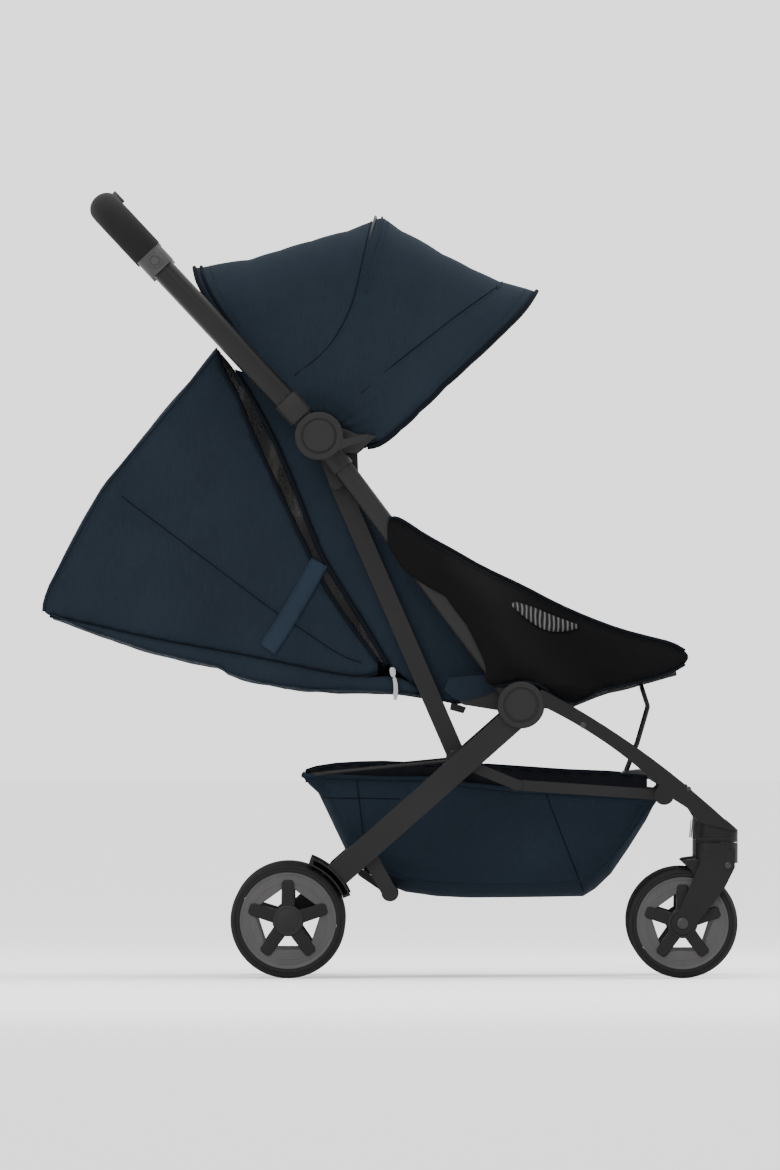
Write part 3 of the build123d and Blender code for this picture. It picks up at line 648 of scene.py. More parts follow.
def stitches(path, pitch=4.2, length=2.7, radius=0.38, material=None):
    """Row of raised stitches along 3-D points."""
    pts = [Vector(p) for p in path]
    verts, faces, due = [], [], pitch / 2
    up = Vector((0.1, 1, 0.1)).normalized()
    for p, q in zip(pts, pts[1:]):
        run = q - p
        size = run.length
        if size < 1e-6:
            continue
        run /= size
        across = run.cross(up).normalized()
        top = across.cross(run)
        while due < size:
            a, b = p + run * max(0, due - length / 2), p + run * min(size, due + length / 2)
            k = len(verts)
            for end in (a, b):
                verts += [end + across * radius, end + top * radius * 1.3,
                          end - across * radius, end - top * radius * 0.5]
            faces += [(k + j, k + (j + 1) % 4, k + 4 + (j + 1) % 4, k + 4 + j) for j in range(4)]
            faces += [(k + 3, k + 2, k + 1, k), (k + 4, k + 5, k + 6, k + 7)]
            due += pitch
        due -= size
    return mesh_piece("t", verts, faces, material or THREAD)


def beside(line, gap):
    """Side-view line shifted sideways by gap."""
    made = []
    for k, p in enumerate(line):
        a, b = line[max(0, k - 1)], line[min(len(line) - 1, k + 1)]
        dx, dz = b[0] - a[0], b[1] - a[1]
        size = hypot(dx, dz) or 1.0
        made.append((p[0] - dz / size * gap, p[1] + dx / size * gap))
    return made


def soft_noise(x, z, size, seed=0.0):
    return noise.noise(Vector((x / size, z / size, seed)))


# ---- back: wings beside it, tray, mesh strip, rear panel ------------------------------------------
WING_REAR = [(-230, 829), (-300, 744), (-372, 659), (-389, 634), (-449, 524), (-459, 497), (-460, 484)]
WING_HEM = [(-452, 478), (-406, 468), (-317, 447), (-220, 430), (-148, 416), (-79, 401), (-40, 396),
            (-18, 402)]
MESH_LEFT = [(-18, 418), (-64, 478), (-93, 525), (-108, 556), (-162, 671), (-188, 727),
             (-203, 768), (-226, 808), (-230, 829)]
MESH_RIGHT = [(-5, 414), (-51, 491), (-84, 543), (-97, 568), (-134, 664), (-159, 719),
              (-183, 764), (-206, 800)]
CREASE = [(-357, 636), (-256, 560), (-154, 483), (-129, 467), (-67, 425), (-40, 416)]
UNDERSIDE = [(-450, 479), (-335, 436), (-245, 415), (-229, 413), (-213, 401), (-159, 388),
             (-94, 381), (-2, 379), (40, 374)]


def wing_waves(x, z):
    """Long soft folds that run from the hem up to the hub, and short ones over the hem."""
    angle = atan2(z - 715, x + 60)
    folds = 1.6 * sin(angle * 19 + 2.5 * soft_noise(x, z, 160, 3.1))
    low = exp(-max(0.0, z - 470) / 90)
    short = 1.2 * sin(x / 11 + 3 * soft_noise(x, z, 60, 5.0)) * low
    return folds * (0.35 + 0.65 * low) + short + 1.5 * soft_noise(x, z, 85, 7.7)


def tray_waves(x, z):
    return 1.3 * sin(x / 13 + 2 * soft_noise(x, z, 45)) + 1.6 * soft_noise(x, z, 70, 2.0)


wing = Panel(WING_REAR + WING_HEM + MESH_LEFT, 146.5, 6.0, 30, [CREASE], waves=wing_waves, rounds=1)
tray = Panel(WING_HEM[:-1] + [(4, 399), (30, 388)] + UNDERSIDE[::-1], 149.5, 6.5, 9, waves=tray_waves,
             rounds=1)
strip = Panel([(-228, 828), (-226, 808)] + MESH_LEFT[-3::-1] + [(-5, 414)] + MESH_RIGHT[1:]
              + [(-214, 812)], 146.2, 0.4, 10, rounds=1)
BACK_SIDE = [(-5, 416), (22, 392), (46, 370), (98, 358), (132, 378), (139, 403), (36, 540),
             (-8, 598), (-88, 704), (-118, 744), (-150, 782), (-209, 806)]
inner = Panel(BACK_SIDE + MESH_RIGHT[::-1][:-1], 143.5, 3.5, 22, [[(-60, 640), (30, 455), (72, 372)]],
              waves=lambda x, z: 1.6 * soft_noise(x, z, 55, 9.0), rounds=1)

for which, side in SIDES.items():
    piece = wing.mesh(f"wing_{which}", side, MATS["navy_fabric"], inside=DARK_LINING)
    crease = smooth_line(CREASE, 2)
    trim = join(f"wing_trim_{which}", [
        piping(wing.line(smooth_line(WING_REAR, 1), side), 2.0, material=MATS["navy_fabric"]),
        piping(wing.line(crease, side, -0.1), 0.8),
        piping(wing.line(smooth_line(WING_HEM, 1), side, 1.0), 2.3),
        piping(wing.line(smooth_line(MESH_LEFT, 1), side), 2.6),
        stitches(wing.line(beside(crease, 2.6), side, 0.9)),
        stitches(wing.line(beside(crease, -2.6), side, 0.9)),
        stitches(wing.line(beside(smooth_line(WING_REAR, 1), 6), side, 1.0)),
        stitches(wing.line(beside(smooth_line(WING_HEM, 1), 7), side, 1.0)),
        stitches(wing.line(beside(smooth_line(MESH_LEFT, 1), 7), side, 1.0))])
    skin(trim, wing_weights)
    skin(piece, wing_weights)
    stand_for(piece, "navy_fabric", "side_wings")

    piece = tray.mesh(f"back_tray_{which}", side, MATS["navy_fabric"], 5.0, inside=DARK_LINING)
    skin(piece, back_weights)

    piece = strip.mesh(f"mesh_strip_{which}", side, NET, 7, 0.8)
    skin(piece, wing_weights)
    trim = join(f"mesh_trim_{which}", [
        piping(strip.line(smooth_line(MESH_RIGHT, 1), side, 1.0), 3.0),
        stitches(strip.line(beside(smooth_line(MESH_RIGHT, 1), 5), side, 0.6))])
    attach(trim, "seat_frame")

    piece = inner.mesh(f"back_side_{which}", side, MATS["navy_fabric"], inside=DARK_LINING)
    seat_fold(piece)


def cross_sheet(name, profile, half, material, bow=0.0, step=9.0, waves=0.0, thickness=1.8,
                inside=None):
    """Sheet across the stroller along a side-view profile; bow is how far its middle sags."""
    run = resample(profile, step)
    count = 44
    verts = []
    for x, z in run:
        for k in range(count + 1):
            v = 2 * k / count - 1
            drop = bow * (1 - v * v) + waves * soft_noise(x * 1.0, v * 170 + z, 48, 4.0)
            verts.append((x + drop * 0.35, v * half, z - drop))
    obj = mesh_piece(name, verts, grid_faces(len(run), count + 1), material)
    return thicken(obj, thickness, 0.0, inside)


rear_panel = cross_sheet("rear_panel", smooth_line(WING_REAR, 1), 147, MATS["navy_fabric"],
                         -3.0, waves=3.0, inside=DARK_LINING)
skin(rear_panel, wing_weights)
underside = cross_sheet("back_underside", smooth_line(UNDERSIDE, 1), 150, MATS["navy_fabric"],
                        4.0, waves=2.5, inside=DARK_LINING)
skin(underside, back_weights)

for which, side in SIDES.items():
    band = [(-95, 549), (-118, 508), (-145, 462), (-164, 434)]
    path = wing.line(smooth_line(band, 2), side, 1.6)
    strap = tube(f"fold_strap_{which}", path, 12.5, WEBBING, sides=12, flat=0.13)
    edge = [stitches([(x + d * 0.86, y + side * 1.7, z - d * 0.5) for x, y, z in path], 3.6, 2.3)
            for d in (-10.5, 10.5)]
    strap = join(f"fold_strap_{which}", [strap] + edge)
    skin(strap, wing_weights)


# ---- seat: black side panels, padded floor and front roll ---------------------------------------
SEAT_SIDE = [(-5, 600), (-3, 607), (7, 608), (20, 601), (45, 584), (85, 562.5), (119, 542.5),
             (174, 517), (217, 494), (260, 475), (302, 459.5), (340, 449.5), (371, 442), (388, 432),
             (393.5, 424), (388, 414), (371, 404), (351, 396.5), (328, 391), (302, 385), (274, 379.5),
             (257, 369), (238, 362), (214, 372), (198, 386), (172, 392), (150, 386), (134, 385),
             (122, 391), (125, 404), (122, 419), (114, 436), (100, 465), (85, 497), (56, 512),
             (33, 525), (16, 537), (2, 559), (-6, 573)]
SEAT_UPPER, SEAT_LOWER = SEAT_SIDE[1:14], SEAT_SIDE[15:28]
SEAT_WINDOW = [(149, 500), (182, 492), (217, 477), (254, 464), (231, 457), (205, 457.5), (182, 471)]
SEAT_HEM = [(142, 404), (170, 397), (205, 395), (260, 393), (330, 394)]


TUBE_STEP = 59.0


def over_tube(x, z):
    """How far the side stands out to pass over the seat tube, and back in ahead of it."""
    ahead = (x - HUB_UP[0]) * 0.8 + (z - HUB_UP[1]) * 0.6
    return TUBE_STEP * (1 - step_up(20, 104, ahead)) * step_up(370, 386, z)


def seat_waves(x, z):
    """Creases down from the upper edge to the front corner."""
    run = (x - 20) * 0.84 - (z - 600) * 0.54
    over = (x - 20) * 0.54 + (z - 600) * 0.84
    return (2.0 * sin(over / 17 + 2.4 * soft_noise(x, z, 90, 1.0)) * step_up(0, 120, run)
            + 2.4 * soft_noise(x, z, 60, 8.0) + 1.4 * soft_noise(x, z, 22, 3.0))


seat_side = Panel(SEAT_SIDE, 146.0, 6.0, 16, [SEAT_HEM, [(60, 560), (56, 530), (88, 480), (150, 405)]],
                  waves=seat_waves, rounds=1, lean=over_tube)
window = Panel(SEAT_WINDOW, 151.8, 3.0, 8, waves=seat_waves, rounds=1, lean=over_tube)
for which, side in SIDES.items():
    piece = seat_side.mesh(f"seat_side_{which}", side, MATS["black_fabric"], inside=DARK_LINING)
    stand_for(piece, "black_fabric", "seat_walls")
    seat_fold(piece)
    upper, lower = smooth_line(SEAT_UPPER, 1), smooth_line(SEAT_LOWER, 1)
    trim = join(f"seat_trim_{which}", [
        piping(seat_side.line(upper, side, 0.6), 2.2),
        piping(seat_side.line(lower, side, 0.6), 2.0),
        stitches(seat_side.line(beside(upper, -6), side, 0.8), material=PIPING),
        stitches(seat_side.line(beside(lower, -6), side, 0.8), material=PIPING)])
    seat_fold(trim)
    piece = window.mesh(f"seat_window_{which}", side, STRIPED_NET, 5, 0.8)
    seat_fold(piece)


def padded_piece(name, profile, half, material, cap=9.0, pressure=4.0, voxel=6.0, corner=10.0):
    """Stuffed pad: the side-view profile drawn across the stroller, then swelled as cloth."""
    count = len(profile)
    verts = [(x, y, z) for y in (-half, half) for x, z in profile]
    faces = [tuple(range(count))[::-1], tuple(range(count, 2 * count))]
    faces += [(k, (k + 1) % count, count + (k + 1) % count, count + k) for k in range(count)]
    obj = mesh_piece(name, verts, faces, material)
    clean(obj)
    round_off = obj.modifiers.new("round", "BEVEL")
    round_off.width, round_off.segments = corner * MM, 3
    remesh = obj.modifiers.new("voxels", "REMESH")
    remesh.mode, remesh.voxel_size = "VOXEL", voxel * MM
    apply_modifiers(obj)
    for poly in obj.data.polygons:
        poly.use_smooth = True
    rest = np.array([v.co for v in obj.data.vertices])
    cloth = obj.modifiers.new("cloth", "CLOTH")
    cloth.settings.quality = 5
    cloth.settings.use_pressure = True
    cloth.settings.uniform_pressure_force = pressure
    cloth.settings.effector_weights.gravity = 0
    cloth.settings.tension_stiffness = 12
    cloth.settings.shear_stiffness = 4
    cloth.point_cache.frame_start, cloth.point_cache.frame_end = 1, 20
    for number in range(1, 21):
        bpy.context.scene.frame_set(number)
    apply_modifiers(obj)
    bpy.context.scene.frame_set(1)
    moved = np.array([v.co for v in obj.data.vertices]) - rest
    size = np.linalg.norm(moved, axis=1)
    share = np.minimum(1, cap * MM / np.maximum(size, 1e-9))
    obj.data.vertices.foreach_set("co", (rest + moved * share[:, None]).ravel())
    return obj


def channels(obj, origin, angle, lines, depth=5.0, width=7.0):
    """Presses sewn lines into a pad's faces: lines are ((along, across), ...) from origin."""
    bpy.context.view_layer.update()
    smoother = obj.modifiers.new("finer", "SUBSURF")
    smoother.levels = smoother.render_levels = 1
    apply_modifiers(obj)
    ca, sa = cos(radians(angle)), sin(radians(angle))
    pts = np.array([v.co for v in obj.data.vertices]) / MM
    along = (pts[:, 0] - origin[0]) * ca + (pts[:, 2] - origin[1]) * sa
    normals = np.array([v.normal for v in obj.data.vertices])
    press = np.zeros(len(pts))
    for line in lines:
        gap = distance_to(np.stack([along, pts[:, 1]], 1), line)
        press = np.maximum(press, np.exp(-(gap / width) ** 2))
    facing = np.clip(np.abs(-normals[:, 0] * sa + normals[:, 2] * ca) * 1.6 - 0.5, 0, 1)
    pts -= normals * (depth * press * facing)[:, None]
    obj.data.vertices.foreach_set("co", (pts * MM).ravel())
    obj.data.update()


def slab_profile(start, angle, first, last, low, high):
    """Corners of a pad lying along a line of the side view."""
    return [polar(polar(start, d, angle), h, angle - 90)
            for d, h in ((first, low), (last, low), (last, high), (first, high))]


BACK_KNEE = polar(BACK_PIVOT, BACK_LENGTH, BACK_ANGLE)
back_pad = padded_piece("back_pad_soft", slab_profile(BACK_PIVOT, BACK_ANGLE, 32, 320, 9, 31), 128,
                        PAD_CLOTH)
channels(back_pad, BACK_PIVOT, BACK_ANGLE,
         [[(20, y), (330, y)] for y in (-84, -28, 28, 84)] + [[(110, -84), (110, 84)],
                                                               [(220, -84), (220, 84)]])
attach(back_pad, "backrest")
stand_for(back_pad, "black_fabric", "back_pad")

head_pad = padded_piece("head_pad_soft", slab_profile(BACK_KNEE, HEAD_ANGLE, 12, 221, 6, 31), 128,
                        PAD_CLOTH, corner=12)
channels(head_pad, BACK_KNEE, HEAD_ANGLE,
         [[(10, -84), (222, -84)], [(10, 84), (222, 84)], [(118, -84), (118, 84)]])
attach(head_pad, "head_rest")
stand_for(head_pad, "black_fabric", "head_pad")

seat_pad = padded_piece("seat_pad_soft", [(128, 383), (250, 378), (344, 402), (342, 419), (250, 406),
                                          (132, 404)], 131, PAD_CLOTH, cap=7, corner=7)
channels(seat_pad, (122, 395), 4, [[(0, y), (230, y)] for y in (-78, -26, 26, 78)], 4.0)
stand_for(seat_pad, "black_fabric", "seat_pad")
seat_fold(seat_pad)

front_roll = padded_piece("seat_front_roll", [(346, 401), (371, 407), (386, 423), (383, 431),
                                              (368, 435), (347, 431)], 139, MATS["black_fabric"],
                          cap=6, corner=7, voxel=5)
for v in front_roll.data.vertices:
    fold = 2.2 * soft_noise(v.co.y / MM, v.co.z / MM * 2.2, 34, 6.0)
    v.co += v.normal * fold * MM
stand_for(front_roll, "black_fabric", "calf_pad")
seat_fold(front_roll)

seat_sling = cross_sheet("seat_sling", [(128, 380), (196, 369), (240, 363), (286, 382), (325, 392),
                                        (352, 398), (376, 405)], 146, MATS["black_fabric"],
                         5.0, waves=3.5, inside=DARK_LINING)
seat_fold(seat_sling)


def webbing(name, path, width, thickness=2.6):
    """Flat strap along 3-D points, with its two rows of stitches."""
    strap = tube(name, path, width / 2, WEBBING, sides=16, flat=thickness / width)
    rows = [stitches([(x, y + d, z + thickness / 2 + 0.2) for x, y, z in path], 3.6, 2.3)
            for d in (-width / 2 + 3, width / 2 - 3)]
    return join(name, [strap] + rows)


harness = []
for y in (-52, 52):
    lying = [(*polar(polar(BACK_PIVOT, d, BACK_ANGLE), 40.5 + 2.0 * sin(d / 38) + h, BACK_ANGLE - 90),
              yy) for d, h, yy in ((62, -1, y * 0.9), (100, 0, y * 0.96), (150, 1, y), (200, 0, y),
                                   (250, 1, y), (284, 0, y), (290, -8, y))]
    path = [(x, yy, z) for x, z, yy in smooth_line([tuple(p) for p in lying], 2)]
    harness.append(tube("t", path, 17, PAD_CLOTH, sides=16, flat=0.22))
    for d in (-13, 13):
        harness.append(stitches([(x + 0.6, yy + d, z + 3.1) for x, yy, z in path], 3.8, 2.4))
    tongue = [(x, yy, z) for x, z, yy in [(*polar(polar(BACK_PIVOT, d, BACK_ANGLE), 41, 82), y * 0.8)
                                          for d in (38, 52, 66)]]
    harness.append(tube("t", tongue, 9, MATS["black_plastic"], sides=12, flat=0.35))
harness = join("shoulder_harness", harness)
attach(harness, "backrest")
stand_for(harness, "navy_fabric", "shoulder_straps")

crotch = webbing("crotch_web", [(168, 0, 416), (180, 0, 416.4), (195, 0, 415.6), (208, 0, 414.6),
                                (216, 0, 411)], 34)
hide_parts("crotch_strap")
seat_fold(crotch)


# ---- hood: one sheet from the handle over both bows to the visor ----------------------------------
HOOD_TOP = [(33.7, 345), (42.8, 314), (50, 300), (58.6, 291), (70.3, 292.7), (75.5, 302),
            (77.5, 294), (84, 274), (92.9, 259), (102, 251.5), (110.6, 251), (123.5, 270.5),
            (126.5, 277)]
HOOD_FRONT = [(40, -16), (68, -11), (79, -7), (90, -1.5), (106.5, 6.3), (137, 15.4), (178, 22.4),
              (221, 26.3), (264, 29), (290, 30.4), (308, 31.2), (327, 32.3), (345, 33.7)]
HOOD_REAR = [(30, 140), (90, 134), (140, 131.8), (190, 130.4), (235, 129.4), (262, 128), (277, 126.5)]
HOOD_FOOT = [(0, 34), (0.2, 31), (0.45, 29), (0.7, 30), (0.9, 44), (0.97, 58), (1, 64)]
HOOD_HALF, HOOD_CORNER = 181.0, 66.0
REAR_AT, FRONT_AT = 126.5, 33.7
BOW_AT = (REAR_AT - 75.5) / (REAR_AT - FRONT_AT)
VISOR_AT = 0.93


def hood_radius(u):
    return at(HOOD_TOP, REAR_AT + (FRONT_AT - REAR_AT) * u)


def hood_angle(u, r):
    return at(HOOD_REAR, r) + u * (at(HOOD_FRONT, r) - at(HOOD_REAR, r))


def slack(u):
    """How slack the sheet is between its bows: 0 on a bow, 1 midway."""
    if u < BOW_AT:
        return abs(sin(pi * u / BOW_AT))
    return abs(sin(pi * (u - BOW_AT) / (VISOR_AT - BOW_AT))) if u < VISOR_AT else 0.0


def hood_wall(u, r, top):
    """|y| of the hood's side at a radius below its rounded corner."""
    wall = top - HOOD_CORNER - at(HOOD_FOOT, u)
    down = min(1, max(0, (top - HOOD_CORNER - r) / wall))
    return HOOD_HALF - 3.5 * slack(u) * sin(pi * down) - 5.0 * (1 - step_up(34, 60, r))


def hood_point(u, v):
    """Point of the sheet: u from the handle (0) to the visor (1), v from side to side."""
    top, foot = hood_radius(u), at(HOOD_FOOT, u)
    wall = top - HOOD_CORNER - foot
    quarter = HOOD_CORNER * pi / 2
    flat = HOOD_HALF - HOOD_CORNER
    s = abs(2 * v - 1) * (wall + quarter + flat)
    side = -1 if v < 0.5 else 1
    sag = slack(u)
    if s < flat:
        r, y = top - 1.5 * sag * (1 - (s / flat) ** 2), s
    elif s < flat + quarter:
        turn = (s - flat) / HOOD_CORNER
        r, y = top - HOOD_CORNER * (1 - cos(turn)), flat + HOOD_CORNER * sin(turn)
    else:
        r = top - HOOD_CORNER - (s - flat - quarter)
        y = hood_wall(u, r, top)
    a = hood_angle(u, r)
    x, z = polar(HUB_UP, r, a)
    fold = 1.5 * soft_noise(x + 3 * y, z, 95, 2.0) * sag
    fold += 0.6 * sin(a / 2.6 + soft_noise(x, z, 60)) * sag * exp(-max(0.0, r - 60) / 50)
    return (x, side * (y + fold), z + (0.8 * fold if s < flat else 0))


def hood_sheet():
    across, along = 96, 72
    verts = [hood_point(i / along, j / across) for i in range(along + 1) for j in range(across + 1)]
    obj = mesh_piece("hood_sheet", verts, grid_faces(along + 1, across + 1), MATS["hood_fabric"])
    if sum(p.normal.z for p in obj.data.polygons) < 0:
        obj.data.flip_normals()
    return thicken(obj, 1.8, -1.0, DARK_LINING)


def hood_u(x, z):
    """u of a side-view point."""
    a, r = degrees(atan2(z - HUB_UP[1], x - HUB_UP[0])), hypot(x - HUB_UP[0], z - HUB_UP[1])
    return (at(HOOD_REAR, r) - a) / (at(HOOD_REAR, r) - at(HOOD_FRONT, r)), r


def hood_line(points, side, out=0.5):
    """3-D points of a side-view line lying on the hood's side."""
    made = []
    for x, z in resample(points, 6):
        u, r = hood_u(x, z)
        top = hood_radius(u)
        r = min(r, top - 0.1)
        if r > top - HOOD_CORNER:
            y = HOOD_HALF - HOOD_CORNER + (HOOD_CORNER ** 2 - (r - top + HOOD_CORNER) ** 2) ** 0.5
        else:
            y = hood_wall(u, r, top)
        made.append((x, side * (y + out), z))
    return made


def hood_rib(u, out=0.6):
    """3-D points along the sheet at one u, from foot to foot."""
    made = []
    for j in range(121):
        x, y, z = hood_point(u, j / 120)
        push = Vector((x - HUB_UP[0], 0, z - HUB_UP[1])).normalized() * out
        made.append((x + push.x, y + (out if y > 0 else -out), z + push.z))
    return made


SEAM_REAR = smooth_line([(-27, 1000), (-40, 940), (-50, 895), (-64, 862), (-88, 826), (-128, 796)], 2)
SEAM_VISOR = smooth_line([(143, 915), (98, 884), (44, 842), (-2, 806), (-40, 772)], 2)
hood = hood_sheet()
trim = [piping(hood_rib(0.0, 0.8), 2.8), piping(hood_rib(0.022, 0.8), 2.2),
        piping(hood_rib(1.0, 0.8), 3.0),
        piping(hood_rib(BOW_AT, -0.6)[24:-24], 1.5, material=MATS["hood_fabric"]),
        stitches(hood_rib(BOW_AT - 0.018)[24:-24]), stitches(hood_rib(BOW_AT + 0.018)[24:-24]),
        stitches(hood_rib(0.05)), stitches(hood_rib(0.972)),
        piping([hood_point(k / 60, 0.0) for k in range(61)], 2.6),
        piping([hood_point(k / 60, 1.0) for k in range(61)], 2.6)]
visor_top = hood_rib(hood_u(*SEAM_VISOR[0])[0], 0.2)
trim.append(piping(visor_top[38:-38], 1.1, material=MATS["hood_fabric"]))
for side in SIDES.values():
    for seam in (SEAM_REAR, SEAM_VISOR):
        trim.append(piping(hood_line(seam, side, -0.1), 0.8))
        trim.append(stitches(hood_line(beside(seam, 3.2), side, 0.6)))
trim = join("hood_trim", trim)
stand_for(hood, "hood_fabric", "hood_rear", "hood_front")
skin(hood, hood_weights)
skin(trim, hood_weights)


# ---- basket: lofted shell hung from its rim ---------------------------------------------------------
RIM = [(-116, 267), (-60, 265), (0, 263), (55, 263), (102, 255), (166, 248), (262, 242), (352, 237)]
KEEL = [(-116, 263), (-108, 254), (-97, 244), (-78, 205), (-57, 162), (-34, 141), (-8, 126),
        (18, 115), (60, 109), (105, 107), (200, 108), (254, 109), (270, 119), (291, 139),
        (314, 172), (337, 208), (346, 226), (352, 235)]


BASKET_HALF, BASKET_CORNER, BASKET_TAPER, BASKET_FLOOR = 146.0, 34.0, 14.0, 104.5


def basket_section(x):
    """Rim and keel heights at x, with the depth, corner radius and taper between them."""
    top, low = at(RIM, x), at(KEEL, x)
    depth = max(1.0, top - low)
    return top, low, depth, min(BASKET_CORNER, depth * 0.8), BASKET_TAPER * min(1.0, depth / 120)


def basket_waves(x, z, top, side):
    """Unevenness of the basket's cloth, gathered towards the rim."""
    return (1.8 * soft_noise(x, z, 55, side * 3.0)
            + 1.4 * sin(x / 15 + z / 30) * exp(-abs(z - top) / 16))


def basket_point(x, s):
    """Point of the shell: s from the right rim (0) under the keel to the left rim (1)."""
    top, low, depth, corner, narrow = basket_section(x)
    side = -1 if s < 0.5 else 1
    wall, quarter, floor = depth - corner, corner * pi / 2, BASKET_HALF - narrow - corner
    t = (1 - abs(2 * s - 1)) * (wall + quarter + floor)
    if t < wall:
        z, y = top - t, BASKET_HALF - narrow * t / depth
        y += 5.0 * sin(pi * t / max(wall, 1)) * min(1, depth / 100)
    elif t < wall + quarter:
        turn = (t - wall) / corner
        y = BASKET_HALF - narrow - corner * (1 - cos(turn))
        z = low + corner * (1 - sin(turn))
    else:
        y, z = BASKET_HALF - narrow - corner - (t - wall - quarter), low
        z -= 3.0 * (1 - (y / 130) ** 2) * min(1, depth / 100)
    y += basket_waves(x, z, top, side)
    return (x, side * y, max(z, BASKET_FLOOR))


def basket_shell():
    xs = [p[0] for p in resample(KEEL, 7)]
    across = 84
    verts = [basket_point(x, j / across) for x in xs for j in range(across + 1)]
    obj = mesh_piece("basket_shell", verts, grid_faces(len(xs), across + 1), MATS["basket_fabric"])
    if sum(p.normal.z for p in obj.data.polygons) > 0:
        obj.data.flip_normals()
    return thicken(obj, 2.0, -1.0, DARK_LINING)


def basket_side(points, side, out=0.8):
    """3-D points of a side-view line lying on the basket's side."""
    made = []
    for x, z in resample(points, 5):
        top, low, depth, corner, narrow = basket_section(x)
        t, wall = top - z, depth - corner
        if t < wall:
            y = BASKET_HALF - narrow * t / depth + 5.0 * sin(pi * t / wall) * min(1, depth / 100)
        else:
            turn = min(1.0, max(0.0, 1 - (z - low) / corner))
            y = BASKET_HALF - narrow - corner * (1 - (1 - turn ** 2) ** 0.5)
        made.append((x, side * (y + basket_waves(x, z, top, side) + out), z))
    return made


basket = basket_shell()
parts = []
for side in SIDES.values():
    rim_path = [basket_point(x, 0 if side < 0 else 1) for x in [p[0] for p in resample(RIM, 8)]]
    parts.append(piping(rim_path, 3.2, material=MATS["basket_fabric"]))
    parts.append(stitches([(x, y + side * 1.2, z - 8) for x, y, z in rim_path[2:-1]]))
    for seam in ([(203, 246), (228, 180), (254, 114)], [(-46, 265), (-42, 226), (-33, 158)]):
        parts.append(piping(basket_side(smooth_line(seam, 1), side, -0.1), 0.9))
        parts.append(stitches(basket_side(beside(smooth_line(seam, 1), 3), side, 0.7)))
    hem = [(-92, 238), (-72, 237), (-40, 237), (10, 236)]
    parts.append(piping(basket_side(hem, side, -0.1), 0.8))
    keel_edge = smooth_line([(-57, 170), (-10, 140), (20, 128), (105, 121), (250, 122), (290, 152),
                             (340, 224)], 2)
    parts.append(piping(basket_side(keel_edge, side, 0.2), 1.2, material=MATS["basket_fabric"]))
parts.append(piping([(-116, y, 267) for y in range(-146, 147, 6)], 3.6, MATS["basket_fabric"]))
parts.append(stitches([(-98.5, y, 246.6) for y in range(-140, 141, 6)]))
parts.append(piping([(352, y, 237) for y in range(-146, 147, 6)], 3.0, MATS["basket_fabric"]))
BAND_TOP = [(-114, 272), (-100, 276.6), (-74, 280.6), (-41, 282.6), (-12, 283.2), (24, 281.6),
            (64, 280), (129, 279.5), (180, 276), (230, 272.5), (290, 270), (338, 266)]


def basket_band(side):
    """Gathered dark band that stands above the rim, inside the shell."""
    verts = []
    xs = [p[0] for p in resample(BAND_TOP, 5)]
    for x in xs:
        top, low = at(BAND_TOP, x), at(RIM, x) - 9
        for k in range(5):
            gather = 1.1 * sin(x / 4.2 + 2 * soft_noise(x, 0, 30)) * k / 4
            verts.append((x, side * (139.5 + gather + 2.0 * (k / 4) ** 2), low + (top - low) * k / 4))
    return thicken(mesh_piece("t", verts, grid_faces(len(xs), 5), DARK_LINING), 1.6, 0.0)


for side in SIDES.values():
    parts.append(basket_band(side))
    parts.append(piping([(x, side * 141.5, z) for x, z in resample(BAND_TOP, 6)], 1.8))
basket_trim = join("basket_trim", parts)
stand_for(basket, "basket_fabric", "basket")
leg_fold(basket)
leg_fold(basket_trim)


